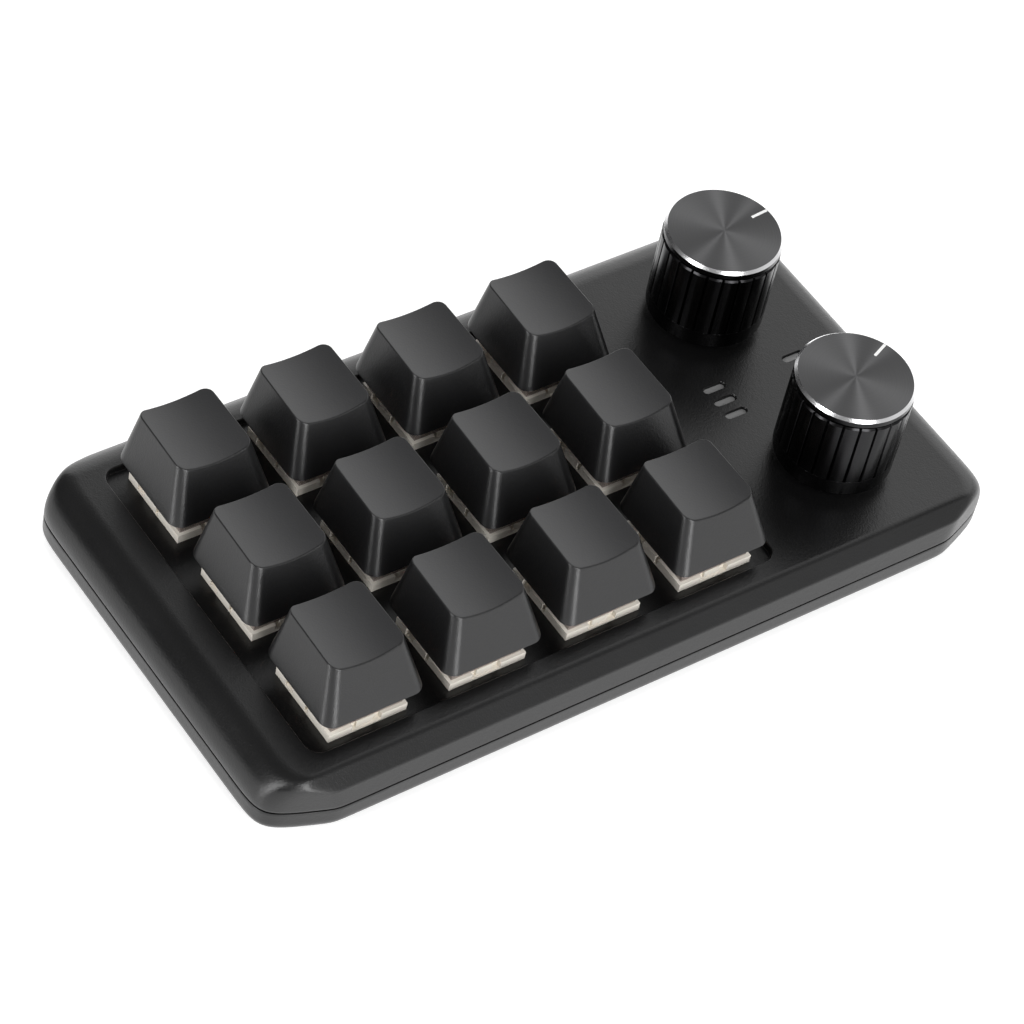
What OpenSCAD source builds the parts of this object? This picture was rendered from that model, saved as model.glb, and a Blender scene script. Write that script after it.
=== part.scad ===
// Macro keypad: a desk-top box with twelve sprung keys in a shallow well
// and two knobs that turn and press.
// Millimetres. X runs along the long edge, Y to the back, Z up.
// The origin is under the middle of the box, on the plane that its feet stand on.

/* [Case] */
// Length of the case along X
case_w = 142; // [136:1:160]
// Depth of the case along Y
case_d = 75.6; // [74:0.2:90]
// Height of the lower shell, from its underside to the parting line
lower_h = 4.9; // [4.5:0.1:6.5]
// Height of the upper shell, from the parting line to the flat rim
upper_h = 6.7; // [6.2:0.1:8]
// Wall of both shells
wall = 2; // [1.8:0.1:2.4]
// Floor of the lower shell
floor_t = 1.6; // [1.2:0.1:2]
// Angle of the four corner facets to the long edge
facet_angle = 19.3; // [17:0.1:21]
// Distance from the short end to where a facet leaves the long edge
facet_in = 11.4; // [9:0.1:15]
// Radius of the rounded corner between a facet and the short end
corner_r = 4.5; // [3:0.1:6]
// Radius at the soft bend where a facet leaves the long edge
bend_r = 4; // [2:0.5:14]
// Radius along the top edge of the four facets
facet_top_r = 1.8; // [0.8:0.1:2.4]
// Radius of the rolled top edge at the two short ends
roll_r = 5.8; // [4.5:0.1:6]
// Height of the 45 degree chamfer along the front and back
chamfer_h = 2.55; // [1.5:0.05:3]
// How far the front face leans back below the chamfer
lean = 0.4; // [0.1:0.05:0.8]
// Radius along the bottom edge of the lower shell
bottom_r = 2.5; // [1.5:0.1:3]
// Height and depth of the shadow groove at the parting line
groove = 0.3; // [0.2:0.05:0.5]
// Height of the locating lip inside the parting line
lip_h = 1.2; // [0.8:0.1:1.6]
// Thickness of the locating lip
lip_t = 0.8; // [0.6:0.05:0.9]

/* [Well] */
// Depth of the key well below the rim
well_depth = 1.4; // [1:0.1:2]
// Thickness of the plate at the floor of the well
plate_t = 1.5; // [1.2:0.1:1.8]
// Share of the spare length that lies left of the well
left_share = 0.1934; // [0.17:0.0001:0.3]
// Share of the spare length that lies right of the knobs
right_share = 0.3208; // [0.25:0.0001:0.36]
// Gap between the outer keycaps and the well's side walls
well_gap_x = 2; // [1:0.1:3]
// Gap between the outer keycaps and the well's front and back walls
well_gap_y = 0.4; // [0.3:0.1:1.5]
// Radius of the well's corners
well_r = 2.5; // [1:0.1:4]

/* [Keys] */
// Distance between key centres
pitch = 22; // [21:0.1:24]
// Travel of each key
travel = 4; // [3:0.1:4]
// Width of a keycap at its lower edge
cap_w = 18.4; // [18.2:0.1:19]
// Depth of a keycap at its lower edge
cap_d = 18.2; // [18:0.1:19]
// Width of a keycap's top at the front
cap_top_front = 13.4; // [13:0.1:14]
// Width of a keycap's top at the back
cap_top_back = 13; // [12.2:0.1:13.4]
// Depth of a keycap's top
cap_top_d = 13.4; // [13:0.1:14.4]
// How far the top sits back from the middle of the lower edge
cap_shift = 1.75; // [0.8:0.05:1.9]
// Height of a pressed keycap's lower edge above the well floor
pressed_gap = 1.4; // [1.4:0.1:2.2]
// Height of a keycap at its front corners
cap_h_front = 8.9; // [8.6:0.1:10]
// Height of a keycap at its back corners
cap_h_back = 9.15; // [9:0.05:11]
// Depth of the dish in the top
dish = 0.9; // [0.4:0.05:1]
// Corner radius of a keycap at its lower edge
cap_r = 2.3; // [1.5:0.1:2.5]
// Corner radius of a keycap at its top
cap_top_r = 0.9; // [0.8:0.1:2]
// Side wall of a keycap
cap_wall = 1.2; // [1:0.05:1.3]
// Distance from the top corners down to the hollow
cap_roof = 2.2; // [1.8:0.1:2.4]
// Diameter of the post under a keycap
post_d = 5.5; // [5.2:0.1:5.6]

/* [Switches] */
// Width of a switch's flange on the plate
flange_w = 14.2; // [14:0.1:14.6]
// Depth of a switch's flange on the plate
flange_d = 15; // [14.8:0.1:15.2]
// Height of a switch's flange
flange_h = 1.6; // [1.2:0.1:1.6]
// Depth of the notches in the four sides of the flange
notch_depth = 0.9; // [0.6:0.1:1.1]
// Height of the upright skirt of the clear housing, on the flange
collar_h = 0.6; // [0.4:0.1:0.6]
// How far that skirt is set in from the flange
collar_inset = 0.6; // [0.5:0.1:0.8]
// Width of the switch body below the plate
body_w = 13.4; // [13:0.1:13.5]
// Depth of the switch body below the plate
body_d = 13.9; // [13.5:0.1:14]
// Depth of the switch body below the well floor
body_h = 5; // [4.8:0.1:5.2]
// Gap round the switch body in the plate
plate_gap = 0.1; // [0.05:0.05:0.2]
// Height of the clear upper housing
housing_h = 4.4; // [4.2:0.1:4.6]
// Width of the clear upper housing at its top
housing_top_w = 10.6; // [10.2:0.1:10.8]
// Depth of the clear upper housing at its top
housing_top_d = 10.4; // [10:0.1:10.6]
// Wall of the clear upper housing
housing_wall = 1; // [0.8:0.1:1]
// Width of the stem block
stem_w = 7.2; // [7:0.1:7.3]
// Depth of the stem block
stem_d = 5.8; // [5.7:0.1:5.9]
// Length of the stem's cross
cross_l = 4; // [3.8:0.1:4.2]
// Thickness of the blade of the cross that runs along X
cross_x_t = 1.3; // [1.1:0.05:1.4]
// Thickness of the blade of the cross that runs along Y
cross_y_t = 1.1; // [1:0.05:1.3]
// Height of the cross above the stem block
cross_h = 3.5; // [3:0.1:3.6]
// Outer diameter of the key spring
spring_d = 4.4; // [4:0.1:4.5]
// Inner diameter of the key spring
spring_bore = 2.8; // [2.6:0.1:3]
// Diameter of the peg under each switch
peg_d = 4; // [3.8:0.1:4.2]
// Length of the peg and the contact pins below the switch body
peg_l = 3.2; // [2.8:0.1:3.2]
// Diameter of a contact pin
pin_d = 1.4; // [1:0.1:1.5]

/* [Knobs] */
// Distance between the two knobs' axes
knob_spacing = 36.3; // [34:0.1:40]
// Diameter of a knob
knob_d = 20.2; // [19.6:0.1:21]
// Height of a knob
knob_h = 17.5; // [16.9:0.1:19]
// Gap between the case and a knob
knob_lift = 2.1; // [1.9:0.1:2.6]
// Height of the plain band at the foot of a knob
band_h = 3.1; // [2:0.1:4]
// Height of the bright chamfer round a knob's face
rim_h = 0.5; // [0.3:0.05:0.8]
// Height of the plain ring below the chamfer
ring_h = 1; // [0.6:0.1:1.4]
// Height of the dark groove under the ring
ring_groove_h = 0.4; // [0.3:0.05:0.6]
// Depth of the dark groove under the ring
ring_groove_depth = 0.7; // [0.4:0.05:0.8]
// Number of thin flutes round a knob
flute_count = 23; // [15:1:30]
// Width of a flute at the surface
flute_w = 0.5; // [0.4:0.05:1]
// Depth of a flute
flute_depth = 0.45; // [0.3:0.05:0.6]
// Wall of a knob's metal shell outside its plastic core
shell_wall = 1.8; // [1.7:0.05:2.2]
// Thickness of a knob's face
face_t = 2.5; // [1.5:0.1:3]
// Length of the pointer groove in a knob's face
pointer_l = 3.2; // [2:0.1:5]
// Width of the pointer groove
pointer_w = 0.5; // [0.4:0.05:1]
// Depth of the pointer groove
pointer_depth = 0.2; // [0.1:0.05:0.4]
// Direction of the back knob's pointer, from +X
pointer_back = 5; // [0:1:359]
// Direction of the front knob's pointer, from +X
pointer_front = 22; // [0:1:359]
// How far a knob can be pressed
push = 0.5; // [0.3:0.05:0.6]

/* [Encoders] */
// Width of an encoder body
encoder_w = 11.6; // [11:0.1:12.4]
// Depth of an encoder body
encoder_d = 12; // [11.4:0.1:13]
// Height of an encoder body
encoder_h = 4.2; // [4:0.1:4.2]
// Diameter of the bush round the shaft
bush_d = 6.8; // [6.6:0.1:7]
// Height of the bush above the encoder body
bush_h = 5; // [4.4:0.1:5.2]
// Diameter of the shaft
shaft_d = 6; // [5.8:0.1:6]
// Distance from the shaft's axis to its flat
shaft_flat = 1.8; // [1.5:0.1:2.2]
// Length of the shaft above the bush
shaft_reach = 10; // [8:0.1:10.6]
// Diameter of the rotor inside the encoder
rotor_d = 9.2; // [8.6:0.1:9.4]
// Thickness of the rotor
rotor_t = 1.4; // [1:0.1:1.4]
// Running gap round the shaft
run_gap = 0.05; // [0.03:0.01:0.08]

/* [Indicators] */
// Distance from a knob axis to a column of indicator slots
slot_column = 8.3; // [7.6:0.1:9]
// Distance between slots in a column
slot_pitch = 3.1; // [2.6:0.1:3.6]
// Length of a slot
slot_l = 4.2; // [3:0.1:5]
// Width of a slot
slot_w = 1.4; // [1:0.1:1.6]
// How far the light pads lie below the rim
pad_drop = 0.5; // [0.3:0.05:0.8]
// Thickness of the light guides' backing
guide_t = 0.9; // [0.6:0.1:1.2]

/* [Electronics] */
// Thickness of the circuit board
board_t = 1.6; // [1.2:0.1:1.6]
// Gap between the circuit board and the case wall
board_gap = 2; // [1:0.1:2.4]
// Width of the socket in the back wall
socket_w = 9; // [8.6:0.1:9.4]
// Height of the socket
socket_h = 3.2; // [3:0.1:3.2]
// Length of the socket
socket_l = 7.3; // [6.5:0.1:8]
// Distance along X from the knobs' axes to the middle of the socket
socket_from_knob = 16; // [14:0.5:18]
// Width of the controller chip
chip_w = 7; // [5:0.5:9]
// Height of the controller chip
chip_h = 1; // [0.7:0.1:1.4]

/* [Screws and feet] */
// Place of the screws between the short ends and the outer switches
screw_share = 0.65; // [0.6:0.01:0.66]
// Distance from the screws to the long edges
screw_in_y = 9.8; // [8.8:0.1:10.4]
// Diameter of a screw's thread
screw_d = 2.2; // [2:0.1:2.4]
// Diameter of a screw's head
screw_head_d = 4.2; // [3.8:0.1:4.6]
// Height of a screw's head
screw_head_h = 1.5; // [1:0.1:1.5]
// Diameter of the screw bosses
boss_d = 6; // [5.6:0.1:6.4]
// Diameter of the rubber feet
foot_d = 9; // [7:0.5:10]
// How far the feet stand out below the case
foot_proud = 1.2; // [0.8:0.1:2]
// Depth of the recess that holds a foot
foot_seat = 0.4; // [0.2:0.05:0.6]
// Distance from the feet to the short ends
foot_in_x = 19; // [18:0.5:22]
// Distance from the feet to the long edges
foot_in_y = 9.3; // [8.5:0.1:12]

/* [Hidden] */
$fn = 48;
eps = 0.01;
columns = 4;
rows = ["front", "middle", "back"];
knobs = ["back", "front"];

// Heights of the case
z_floor = foot_proud;
z_inside = z_floor + floor_t;
z_part = z_floor + lower_h;
z_top = z_part + upper_h;
z_crease = z_top - chamfer_h;
z_ceiling = z_top - wall;
z_well = z_top - well_depth;
z_plate = z_well - plate_t;
half_w = case_w / 2;
half_d = case_d / 2;
facet_reach = (half_w - facet_in) * sin(facet_angle) + half_d * cos(facet_angle);
arc_steps = 6;

// Board: it carries the switch bodies, so its top is at their underside
z_board = z_well - body_h;
z_board_under = z_board - board_t;
board_in = wall + board_gap;

// Along X: rolled end, gap, well, gap, knobs between their slots, gap, rolled end
well_w = (columns - 1) * pitch + cap_w + 2 * well_gap_x;
well_d = (len(rows) - 1) * pitch + cap_d + 2 * well_gap_y;
knob_room_w = 2 * slot_column + slot_l;
spare_w = case_w - 2 * roll_r - well_w - knob_room_w;
well_left = roll_r + left_share * spare_w;
well_x = -half_w + well_left + well_w / 2;
cap_floor = z_well + pressed_gap + travel;
dish_r = (pow(cap_top_front / 2, 2) + pow(dish, 2)) / (2 * dish);
dish_tilt = atan((cap_h_back - cap_h_front) / cap_top_d);
z_collar = z_well + flange_h;
z_housing = z_collar + collar_h;
z_housing_top = z_housing + housing_h;
housing_w = flange_w - 2 * collar_inset;
housing_d = flange_d - 2 * collar_inset;
z_housing_roof = z_housing_top - 1.2;

// Stem and spring
stem_slide = 0.3;
stem_top_over = 0.3;
z_stem_top = z_housing_top + stem_top_over;
z_stem_low = z_well + 1.6;
shoulder_w = 8.6;
shoulder_d = 7.4;
shoulder_t = 1;
shoulder_gap = 0.2;
cross_gap = 0.05;
spring_seat_gap = 0.2;
z_spring = z_well - body_h + 1.5;
z_spring_top = z_well + 4.6;
pole_d = 2;
z_pole = z_well - 2.6;
base_room_w = 11;
base_room_d = 11.4;
z_peg = z_board - peg_l;
peg_bore_d = 2.6;
peg_floor = 0.6;
peg_gap = 0.1;
pin_places = [[-3.6, 2.6], [2.5, 4.9]];
pin_gap = 0.05;
notch_floor = 0.3;
side_notches = [[0.4, 0.45], [0.68, 0.82]];
end_notches = [[0.3, 0.37], [0.58, 0.67]];
tongue_middle = -0.03;
tongue_w = 3.2;
tongue_depth = 0.45;
latch_w = 4;
latch_h = 1;
latch_reach = 0.3;
latch_gap = 0.05;

// Knobs and encoders
knob_x = half_w - roll_r - right_share * spare_w - knob_room_w / 2;
knob_y = [knob_spacing / 2, -knob_spacing / 2];
pointer_angle = [pointer_back, pointer_front];
knob_r = knob_d / 2;
z_knob = z_top + knob_lift;
z_knob_top = z_knob + knob_h;
shell_r = knob_r - shell_wall;
core_gap = 0.05;
z_core = z_knob + 0.3;
z_core_top = z_knob_top - face_t;
z_encoder_top = z_board + encoder_h;
z_bush_top = z_encoder_top + bush_h;
z_shaft_top = z_bush_top + shaft_reach;
bush_room = 0.8;
bush_hole_gap = 0.4;
z_rotor_room = z_board + 1.1;
rotor_room_h = rotor_t + 0.3;
rotor_gap = 0.2;
z_rotor = z_rotor_room + run_gap;
z_shaft = z_rotor_room + 0.1;
shaft_room_d = shaft_d + 0.8;
shaft_room_t = 0.3;
z_lower_flat = z_rotor + rotor_t + push + 0.15;
z_upper_flat = z_bush_top + 0.3;
shaft_end_room = 0.4;

// Indicators
slot_x = [knob_x - slot_column, knob_x + slot_column];
slot_count = 3;
pad_gap = 0.05;
guide_w = slot_l + 2.8;
guide_d = (slot_count - 1) * slot_pitch + slot_w + 1.4;
led_w = 2;
led_d = 1.6;
led_h = 0.8;

// Socket, chip
socket_x = knob_x - socket_from_knob;
socket_recess = 0.3;
socket_skin = 0.3;
socket_gap = 0.25;
tongue_t = 0.7;
chip_x = (well_x + well_w / 2 + knob_x - encoder_w / 2) / 2 - 3.5;
chip_y = -8;

// Screws, bosses, standoffs and feet
screw_x = half_w - screw_share * (half_w + key_x(0) - body_w / 2);
screw_y = half_d - screw_in_y;
thread_gap = 0.05;
head_gap = 0.2;
z_boss = z_board_under - 0.2;
z_head = z_boss - 1.4 - screw_head_h;
z_screw_tip = z_plate - 0.5;
screw_end_room = 0.2;
boss_gap = 0.4;
standoff_d = 4;
foot_x = half_w - foot_in_x;
foot_y = half_d - foot_in_y;
foot_gap = 0.1;
foot_bevel = 0.3;
standoffs = [
    [key_x(0.5), key_y(0.5)], [key_x(0.5), key_y(1.5)],
    [key_x(2.5), key_y(0.5)], [key_x(2.5), key_y(1.5)],
    [chip_x, key_y(0)], [chip_x, key_y(2)],
    [screw_x, 0]
];

// Names and places of the keys: column 0 is at the left, row 0 at the front
function key_node(kind, c, r) = str(kind, "_", rows[r], "_", c + 1);
function key_x(c) = -half_w + well_left + well_gap_x + cap_w / 2 + c * pitch;
function key_y(r) = (r - (len(rows) - 1) / 2) * pitch;

// ---- Shapes that several pieces share ----

function unit(v) = v / norm(v);
function mix(a, b, t) = a + (b - a) * t;

// Arc of radius r that rounds the corner of a counter-clockwise outline
function rounded(before, corner, after, r) =
    let (u = unit(before - corner), v = unit(after - corner),
         half = acos(u * v) / 2,
         centre = corner + unit(u + v) * r / sin(half),
         from = corner + u * r / tan(half) - centre,
         start = atan2(from[1], from[0]),
         sweep = 180 - 2 * half)
    [for (k = [0:arc_steps]) centre + r * [cos(start + sweep * k / arc_steps),
                                           sin(start + sweep * k / arc_steps)]];

// A closed outline with each corner rounded by its own radius
function round_corners(points, radii) =
    let (n = len(points))
    [for (i = [0:n - 1]) each rounded(points[(i + n - 1) % n], points[i], points[(i + 1) % n], radii[i])];

// Plan of the case, set in from the outside by inset
function plan(inset) =
    let (w = half_w - inset, d = half_d - inset, reach = facet_reach - inset,
         bend = (reach - d * cos(facet_angle)) / sin(facet_angle),
         end = (reach - w * sin(facet_angle)) / cos(facet_angle),
         r = max(corner_r - inset, 0.8))
    round_corners(
        [[w, -end], [w, end], [bend, d], [-bend, d], [-w, end], [-w, -end], [-bend, -d], [bend, -d]],
        [r, r, bend_r, bend_r, r, r, bend_r, bend_r]);

// Front and back profile, as [y, z]: leaning wall, crease, chamfer, flat top
function side_profile(inset, low) =
    let (d = half_d - inset, knee = z_crease - inset * tan(22.5), high = z_top - inset,
         flat = d - lean - (high - knee))
    [[-d, low], [d, low], [d - lean, knee], [flat, high], [-flat, high], [-d + lean, knee]];

// End profile, as [x, z]: upright wall that rolls over into the flat top
function end_profile(inset, low) =
    let (w = half_w - inset, r = roll_r - inset, high = z_top - inset)
    concat([[-w, low], [w, low]],
           [for (k = [0:arc_steps])
               [w - r + r * cos(90 * k / arc_steps), high - r + r * sin(90 * k / arc_steps)]],
           [for (k = [arc_steps:-1:0])
               [-w + r - r * cos(90 * k / arc_steps), high - r + r * sin(90 * k / arc_steps)]]);

// Profile across two facets with the top edges rounded, as [across, z]
function facet_profile(reach, low) =
    concat([[-reach, low], [reach, low]],
           [for (k = [0:arc_steps]) [reach - facet_top_r + facet_top_r * cos(90 * k / arc_steps),
                                     z_top - facet_top_r + facet_top_r * sin(90 * k / arc_steps)]],
           [for (k = [arc_steps:-1:0]) [-reach + facet_top_r - facet_top_r * cos(90 * k / arc_steps),
                                        z_top - facet_top_r + facet_top_r * sin(90 * k / arc_steps)]]);

// Profile with the two bottom edges rounded, as [across, z]
function bottom_profile(reach) =
    concat([for (k = [0:arc_steps]) [reach - bottom_r + bottom_r * sin(90 * k / arc_steps),
                                     z_floor + bottom_r - bottom_r * cos(90 * k / arc_steps)]],
           [[reach, z_part], [-reach, z_part]],
           [for (k = [arc_steps:-1:0]) [-reach + bottom_r - bottom_r * sin(90 * k / arc_steps),
                                        z_floor + bottom_r - bottom_r * cos(90 * k / arc_steps)]]);

// Prism along Y of a profile given as [x, z]
module along_y(profile, length) {
    translate([0, length / 2, 0])
        rotate([90, 0, 0])
            linear_extrude(height = length)
                polygon(profile);
}

// Prism along X of a profile given as [y, z]
module along_x(profile, length) {
    rotate([0, 0, 90])
        along_y(profile, length);
}

// Upright prism of the case's plan
module plan_block(inset, low, high) {
    translate([0, 0, low])
        linear_extrude(height = high - low)
            polygon(plan(inset));
}

// Box centred in X and Y that stands on z = low
module block(w, d, low, high) {
    translate([-w / 2, -d / 2, low])
        cube([w, d, high - low]);
}

// Upright cylinder between two heights
module rod(d, low, high) {
    translate([0, 0, low])
        cylinder(d = d, h = high - low);
}

// Box with rounded upright corners
module round_block(w, d, r, low, high) {
    block(w - 2 * r, d, low, high);
    block(w, d - 2 * r, low, high);
    for (x = [-1, 1], y = [-1, 1])
        translate([x * (w / 2 - r), y * (d / 2 - r), 0])
            rod(2 * r, low, high);
}

// Box whose four sides lean in towards the top
module tapered_block(w, d, top_w, top_d, low, high) {
    intersection() {
        along_y([[-w / 2, low], [w / 2, low], [top_w / 2, high], [-top_w / 2, high]], d + top_d);
        along_x([[-d / 2, low], [d / 2, low], [top_d / 2, high], [-top_d / 2, high]], w + top_w);
    }
}

// Slot with two round ends, along X
module slot_shape(l, w, low, high) {
    block(l - w, w, low, high);
    for (x = [-1, 1])
        translate([x * (l - w) / 2, 0, 0])
            rod(w, low, high);
}

// Rod along Z with one flat, which faces +X
module flat_rod(d, flat, low, high) {
    intersection() {
        rod(d, low, high);
        translate([flat - d, 0, 0])
            block(2 * d, 2 * d, low - eps, high + eps);
    }
}

module at_keys() {
    for (r = [0:len(rows) - 1], c = [0:columns - 1])
        translate([key_x(c), key_y(r), 0])
            children();
}

module at_four(x, y) {
    for (sx = [-1, 1], sy = [-1, 1])
        translate([sx * x, sy * y, 0])
            children();
}

module at_slots() {
    for (x = slot_x, i = [0:slot_count - 1])
        translate([x, (i - (slot_count - 1) / 2) * slot_pitch, 0])
            children();
}

// ---- Case ----

module upper_hollow() {
    intersection() {
        plan_block(wall, z_part - 1, z_top);
        along_x(side_profile(wall, z_part - 1), case_w);
        along_y(end_profile(wall, z_part - 1), case_d);
    }
}

// The plate under the well stays solid inside the hollow
module plate_body() {
    translate([well_x, 0, 0])
        round_block(well_w + 2 * plate_t, min(well_d + 2 * plate_t, case_d - 2 * wall),
                    well_r + plate_t, z_plate, z_top);
}

module socket_cut() {
    translate([socket_x, half_d - board_in, 0])
        block(socket_w + 2 * socket_gap, 4 * board_in, z_part - eps, z_board + socket_h + socket_gap);
}

module top_case() {
    color([0.13, 0.13, 0.14]) {
        difference() {
            intersection() {
                plan_block(0, z_part, z_top);
                along_x(side_profile(0, z_part), case_w + 2);
                along_y(end_profile(0, z_part), case_d + 2);
                for (a = [-facet_angle, facet_angle])
                    rotate([0, 0, a])
                        along_x(facet_profile(facet_reach, z_part), 2 * case_w);
            }
            difference() {
                upper_hollow();
                plate_body();
                at_four(screw_x, screw_y)
                    rod(boss_d, z_part - 2, z_top);
            }
            // Shadow groove and the rebate for the locating lip
            difference() {
                plan_block(-1, z_part - eps, z_part + groove);
                plan_block(groove, z_part - 2 * eps, z_part + groove + eps);
            }
            difference() {
                plan_block(wall - lip_t - 0.1, z_part - eps, z_part + lip_h + 0.1);
                at_four(screw_x, screw_y)
                    rod(boss_d, z_part - 2, z_top);
            }
            translate([well_x, 0, 0])
                round_block(well_w, well_d, well_r, z_well, z_top + 1);
            at_keys()
                block(body_w + 2 * plate_gap, body_d + 2 * plate_gap, z_plate - 1, z_well + 1);
            for (y = knob_y)
                translate([knob_x, y, 0])
                    rod(bush_d + 2 * bush_hole_gap, z_ceiling - 1, z_top + 1);
            at_slots()
                slot_shape(slot_l, slot_w, z_ceiling - 1, z_top + 1);
            at_four(screw_x, screw_y)
                rod(screw_d + 2 * thread_gap, z_part - 2, z_screw_tip + screw_end_room);
            socket_cut();
        }
        // The bosses reach down past the parting line to the lower shell's posts
        at_four(screw_x, screw_y)
            difference() {
                rod(boss_d, z_boss, z_part + 2 * eps);
                rod(screw_d + 2 * thread_gap, z_boss - 1, z_part + 1);
            }
    }
}

module bottom_case() {
    color([0.12, 0.12, 0.13])
    difference() {
        union() {
            difference() {
                intersection() {
                    plan_block(0, z_floor, z_part);
                    along_x(bottom_profile(half_d), case_w + 2);
                    along_y(bottom_profile(half_w), case_d + 2);
                    for (a = [-facet_angle, facet_angle])
                        rotate([0, 0, a])
                            along_x(bottom_profile(facet_reach), 2 * case_w);
                }
                plan_block(wall, z_inside, z_part + 1);
            }
            // Locating lip
            difference() {
                plan_block(wall - lip_t, z_part - 1, z_part + lip_h);
                plan_block(wall, z_part - 2, z_part + lip_h + 1);
            }
            at_four(screw_x, screw_y)
                rod(boss_d + 0.4, z_inside - eps, z_boss);
            for (p = standoffs)
                translate([p[0], p[1], 0])
                    rod(standoff_d, z_inside - eps, z_board_under);
        }
        at_four(screw_x, screw_y) {
            rod(screw_d + 2 * head_gap, z_floor - 1, z_part);
            rod(screw_head_d + 2 * head_gap, z_floor - 1, z_head + screw_head_h);
        }
        at_four(foot_x, foot_y)
            rod(foot_d + 2 * foot_gap, z_floor - 1, z_floor + foot_seat);
        socket_cut();
    }
}

// ---- Electronics ----

module circuit_board() {
    color([0.08, 0.25, 0.14])
    difference() {
        plan_block(board_in, z_board_under, z_board);
        at_four(screw_x, screw_y)
            rod(boss_d + 2 * boss_gap, z_board_under - 1, z_board + 1);
        at_keys() {
            rod(peg_d + 2 * peg_gap, z_board_under - 1, z_board + 1);
            for (p = pin_places)
                translate([p[0], p[1], 0])
                    rod(pin_d + 2 * pin_gap, z_board_under - 1, z_board + 1);
        }
    }
}

module indicator_leds() {
    color([0.92, 0.9, 0.8])
    at_slots()
        block(led_w, led_d, z_board, z_board + led_h);
}

module usb_socket() {
    front = half_d - lean - socket_recess;
    color([0.75, 0.75, 0.77])
    translate([socket_x, front - socket_l / 2, z_board + socket_h / 2])
        rotate([90, 0, 0]) {
            difference() {
                slot_shape(socket_w, socket_h, -socket_l / 2, socket_l / 2);
                slot_shape(socket_w - 2 * socket_skin, socket_h - 2 * socket_skin,
                           -socket_l, socket_l / 2 - 1);
            }
            block(socket_w - 2.3, tongue_t, -socket_l / 2 + 1, socket_l / 2 - 1 + eps);
        }
}

module controller_chip() {
    color([0.1, 0.1, 0.1])
    translate([chip_x, chip_y, 0])
        block(chip_w, chip_w, z_board, z_board + chip_h);
}

module light_guides() {
    color([0.6, 0.6, 0.62]) {
        for (x = slot_x)
            translate([x, 0, 0])
                block(guide_w, guide_d, z_ceiling - guide_t, z_ceiling);
        at_slots()
            slot_shape(slot_l - 2 * pad_gap, slot_w - 2 * pad_gap, z_ceiling - eps, z_top - pad_drop);
    }
}

// ---- Switches ----

// Notches in the four sides of a flange; a span gives where one starts and ends, 0 to 1
module flange_notches() {
    for (side = [-1, 1]) {
        for (span = side_notches)
            translate([side * flange_w / 2, (mix(span[0], span[1], 0.5) - 0.5) * flange_d, 0])
                block(2 * notch_depth, (span[1] - span[0]) * flange_d, z_well + notch_floor, z_collar + 1);
        for (span = end_notches)
            translate([(mix(span[0], span[1], 0.5) - 0.5) * flange_w, side * flange_d / 2, 0])
                block((span[1] - span[0]) * flange_w, 2 * notch_depth, z_well + notch_floor, z_collar + 1);
        translate([tongue_middle * flange_w, side * flange_d / 2, 0])
            block(tongue_w, 2 * tongue_depth, z_well + notch_floor, z_collar + 1);
    }
}

module switch_bases() {
    color([0.93, 0.9, 0.84])
    at_keys()
        difference() {
            union() {
                block(flange_w, flange_d, z_well, z_collar);
                block(body_w, body_d, z_board, z_well + eps);
                for (side = [-1, 1])
                    translate([0, side * body_d / 2, 0])
                        block(latch_w, 2 * (plate_gap + latch_reach),
                              z_plate - latch_gap - latch_h, z_plate - latch_gap);
                rod(peg_d, z_peg, z_board + eps);
            }
            flange_notches();
            block(base_room_w, base_room_d, z_spring, z_collar + 1);
            rod(peg_bore_d, z_peg + peg_floor, z_spring + 1);
            for (p = pin_places)
                translate([p[0], p[1], 0])
                    rod(pin_d + 2 * pin_gap, z_board - 1, z_spring + 1);
        }
}

module switch_contacts() {
    color([0.85, 0.65, 0.3])
    at_keys()
        for (p = pin_places)
            translate([p[0], p[1], 0])
                rod(pin_d, z_peg, z_spring + 0.1);
}

module switch_tops() {
    color([0.88, 0.8, 0.76])
    at_keys()
        difference() {
            union() {
                block(housing_w, housing_d, z_collar, z_housing + eps);
                tapered_block(housing_w, housing_d, housing_top_w, housing_top_d, z_housing, z_housing_top);
            }
            block(housing_w - 2 * housing_wall, housing_d - 2 * housing_wall, z_collar - 1, z_housing + eps);
            tapered_block(housing_w - 2 * housing_wall, housing_d - 2 * housing_wall,
                          housing_top_w - 2 * housing_wall + 0.6, housing_top_d - 2 * housing_wall + 0.6,
                          z_housing, z_housing_roof);
            block(stem_w + 2 * stem_slide, stem_d + 2 * stem_slide, z_housing, z_housing_top + 1);
        }
}

// A plus-shaped prism: blade along X and blade along Y
module cross_shape(l, x_t, y_t, low, high) {
    block(l, x_t, low, high);
    block(y_t, l, low, high);
}

module stem(c, r) {
    color([0.55, 0.2, 0.12])
    translate([key_x(c), key_y(r), 0])
        difference() {
            union() {
                block(stem_w, stem_d, z_stem_low, z_stem_top);
                block(shoulder_w, shoulder_d, z_housing_roof - shoulder_gap - shoulder_t,
                      z_housing_roof - shoulder_gap);
                cross_shape(cross_l, cross_x_t, cross_y_t, z_stem_top - eps, z_stem_top + cross_h);
                rod(pole_d, z_pole, z_stem_top);
            }
            // Ring-shaped seat for the spring round the pole
            difference() {
                rod(spring_d + 2 * spring_seat_gap, z_stem_low - 1, z_spring_top);
                rod(pole_d, z_stem_low - 2, z_spring_top + 1);
            }
        }
}

module spring(c, r) {
    color([0.8, 0.8, 0.82])
    translate([key_x(c), key_y(r), 0])
        difference() {
            rod(spring_d, z_spring, z_spring_top);
            rod(spring_bore, z_spring - 1, z_spring_top + 1);
        }
}

// ---- Keycaps ----

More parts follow.
